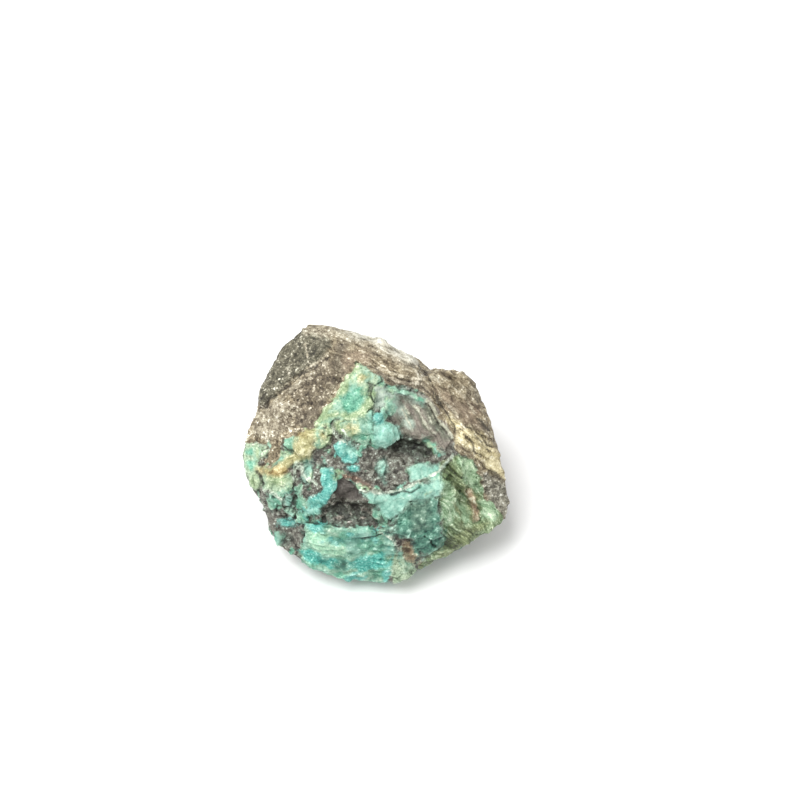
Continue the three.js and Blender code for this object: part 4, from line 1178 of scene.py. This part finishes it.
rock = {
    "layeredEdge": (3, 1.5),  # how much blotches move the edge of the layered rock, and its half width
    "hollowEdge": (-0.6, 0.9),
    "hollowShade": (170, 184, 178),  # painted shade, multiplied into the hollows, pits and crevices
    "hollowShare": 0.87,
    "crustEdge": (0.6, 0.25),  # share of the border's waver at the edge of the crust, and its half width
    "crack": (0.5, 0.05, 0.4),  # how much speckles stir a crack's edge, and where it begins and ends
    "crackTone": (46, 42, 36),
    "crackShare": 0.75,
    "bump": {"speckle": 0.9, "fineGrain": 0.25, "lump": 0.5},  # bumps too fine for the mesh
    "bumpRibs": 0.8,  # and the ribs of the layered rock
    "bumpStrength": 0.8,
    "bumpHeight": 0.3,
    "roughness": 0.74,
    "crustShine": 0.2,  # how much smoother the crust is
    "roughnessNoise": {"speckle": 0.4, "fineGrain": -0.1},
    "specular": 0.4,
}


def weighed(values, weights, start=0):
    # a start, and values times their weights
    return sum((values[name] * weight for name, weight in weights.items()), start)


def rockPatterns(shader):
    # the patterns as shader values, by name
    place = shader.node("TexCoord", {}, {}, 3)  # object coordinates
    place = shader.node("VectorMath", {"operation": "SCALE"}, {0: place, 3: 1 / mm})
    along = shader.node("Attribute", {"attribute_name": "layering"}, {}, 1)
    along = shader.node("VectorMath", {"operation": "MULTIPLY"}, {0: along, 1: patterns["layerStretch"]})
    values = {"relief": shader.field("relief")}
    for group, at in (("noise", place), ("alongLayers", along)):
        for name, (size, detail, roughness) in patterns[group].items():
            values[name] = shader.noise(at, size, detail, roughness)
    for name, size in patterns["grains"].items():
        values[name] = shader.grains(place, size)
    # pale flecks: partly pale grains, partly painted glints
    values["fleck"] = values["fineGrain"].over(*patterns["fleck"])
    vein = shader.noise(place, *patterns["vein"]).math("ABSOLUTE")
    values["veinlet"] = 1 - vein.over(0.0, patterns["veinletWidth"])
    return values


def stoneMaterial():
    # the mixtures choose tones within each colour, and the colours lie over one another by their fields
    shader = Shader("chrysocollaRock")
    values = rockPatterns(shader)
    border = weighed(values, patterns["border"])
    chosen = {name: weighed(values, weights, start) for name, (start, weights) in mixtures.items()}
    for name, (first, second, share) in blends.items():
        chosen[name] = shader.blend(share, chosen[first], chosen[second])
    for name, (first, pattern, weight) in stirs.items():
        chosen[name] = chosen[first] + values[pattern] * weight

    # host rock: granular on the left and behind, layered on the right
    stirred, halfWidth = rock["layeredEdge"]
    isLayered = (shader.field("layered") + values["blotch"] * stirred).over(-halfWidth, halfWidth)
    chosen["host"] = shader.blend(isLayered, chosen["host"], chosen["layered"])

    def ground(name):
        # the tones that lie under all coats
        return shader.ramp(chosen[name], grounds[name])

    def lay(under, coats):
        # each coat over those before it, inside its own field with a broken edge
        for name, (mixture, width, shift, hides, stops) in coats.items():
            mask = (shader.field(name) + border + shift).over(-width, width)
            if hides < 1:
                mask = mask * hides
            under = shader.mix(mask, under, shader.ramp(chosen[mixture], stops))
        return under

    host = lay(ground("host"), hostCoats)
    crust = lay(ground("matrix"), crustCoats)
    # painted shade: the hollows, pits and crevices are multiplied by a darker colour
    paintedShadeMask = (shader.field("hollow") + border).over(*rock["hollowEdge"])
    shaded = shader.mix(1.0, crust, tone(*rock["hollowShade"]), "MULTIPLY")
    crust = lay(shader.mix(paintedShadeMask * rock["hollowShare"], crust, shaded), hollowCoats)

    share, halfWidth = rock["crustEdge"]
    isCrust = (shader.field("crust") + border * share).over(-halfWidth, halfWidth)
    stirred, begins, ends = rock["crack"]
    cracks = 1 - (shader.field("cracks") + values["speckle"] * stirred).over(begins, ends)
    colour = shader.mix(isCrust, host, crust)
    colour = shader.mix(cracks * rock["crackShare"], colour, tone(*rock["crackTone"]))

    height = weighed(values, rock["bump"]) + isLayered * values["ribs"] * rock["bumpRibs"]
    inputs = {"Strength": rock["bumpStrength"], "Distance": rock["bumpHeight"] * mm, "Height": height}
    bump = shader.node("Bump", {}, inputs)
    roughness = weighed(values, rock["roughnessNoise"], rock["roughness"] - isCrust * rock["crustShine"])
    print("rock:", len(shader.tree.nodes), "nodes")
    shine = rock["specular"]
    return shader.finish(Base_Color=colour, Roughness=roughness, Normal=bump, Specular_IOR_Level=shine)


piece, shift = buildStone()
piece.data.materials.append(stoneMaterial())
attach(piece, "root")
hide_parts("stone")

studio = {
    "lens": 180,
    "frameWidth": 200,  # how much of the outline's plane the frame spans
    "aim": (6, 13),  # the frame's middle, from the outline's centre
    "farClip": 20000,
    "floorReach": 2000,  # how far the floor goes to each side
    "floorTone": 0.9,
    "floorRoughness": 0.9,
    "skyStrength": 0.77,
    "keyPlace": (-150, -10, 430),
    "keySize": 340,
    "keyPower": 2.65,  # watts
}


def buildFloor():
    # a pale square that the stone rests on
    side = studio["floorReach"] * mm
    mesh = bpy.data.meshes.new("floor")
    corners = [(-side, -side, 0), (side, -side, 0), (side, side, 0), (-side, side, 0)]
    mesh.from_pydata(corners, [], [(0, 1, 2, 3)])
    pale = (*[studio["floorTone"]] * 3, 1)
    mesh.materials.append(Shader("paleFloor").finish(Base_Color=pale, Roughness=studio["floorRoughness"]))
    newObject("floor", mesh)
    print("floor:", 2 * side, "m wide")


def placeCamera():
    # straight out from the face, at the distance where the frame spans the width asked for
    lean = np.radians(stone["faceLean"])
    out = Vector((0, -np.cos(lean), np.sin(lean)))
    up = Vector((0, np.sin(lean), np.cos(lean)))
    right = Vector((1, 0, 0))
    data = bpy.data.cameras.new("camera")
    data.lens = studio["lens"]
    data.clip_end = studio["farClip"] * mm
    distance = studio["frameWidth"] * data.lens / data.sensor_width
    middle = Vector((shift[0], shift[1], stone["restDepth"]))
    target = middle + right * studio["aim"][0] + up * studio["aim"][1]
    camera = newObject("camera", data)
    camera.location = (target + out * distance) * mm
    camera.rotation_euler = (np.pi / 2 - lean, 0, 0)
    bpy.context.scene.camera = camera
    print("camera:", round(distance), "mm from the outline's plane")


def placeLights():
    # an even white sky, and a large lamp above the left that is aimed at the stone
    world = bpy.data.worlds.new("studio")
    bpy.context.scene.world = world
    world.use_nodes = True
    background = world.node_tree.nodes["Background"]
    background.inputs["Color"].default_value = (1, 1, 1, 1)
    background.inputs["Strength"].default_value = studio["skyStrength"]
    data = bpy.data.lights.new("key", "AREA")
    data.energy, data.size = studio["keyPower"], studio["keySize"] * mm
    key = newObject("key", data)
    key.location = Vector(studio["keyPlace"]) * mm
    aim = Vector((0, 0, stone["restDepth"] * mm)) - key.location
    key.rotation_euler = aim.to_track_quat("-Z", "Y").to_euler()
    bpy.context.scene.view_settings.view_transform = "Standard"
    print("lights: sky", studio["skyStrength"], "and key", studio["keyPower"], "W")


buildFloor()
placeCamera()
placeLights()
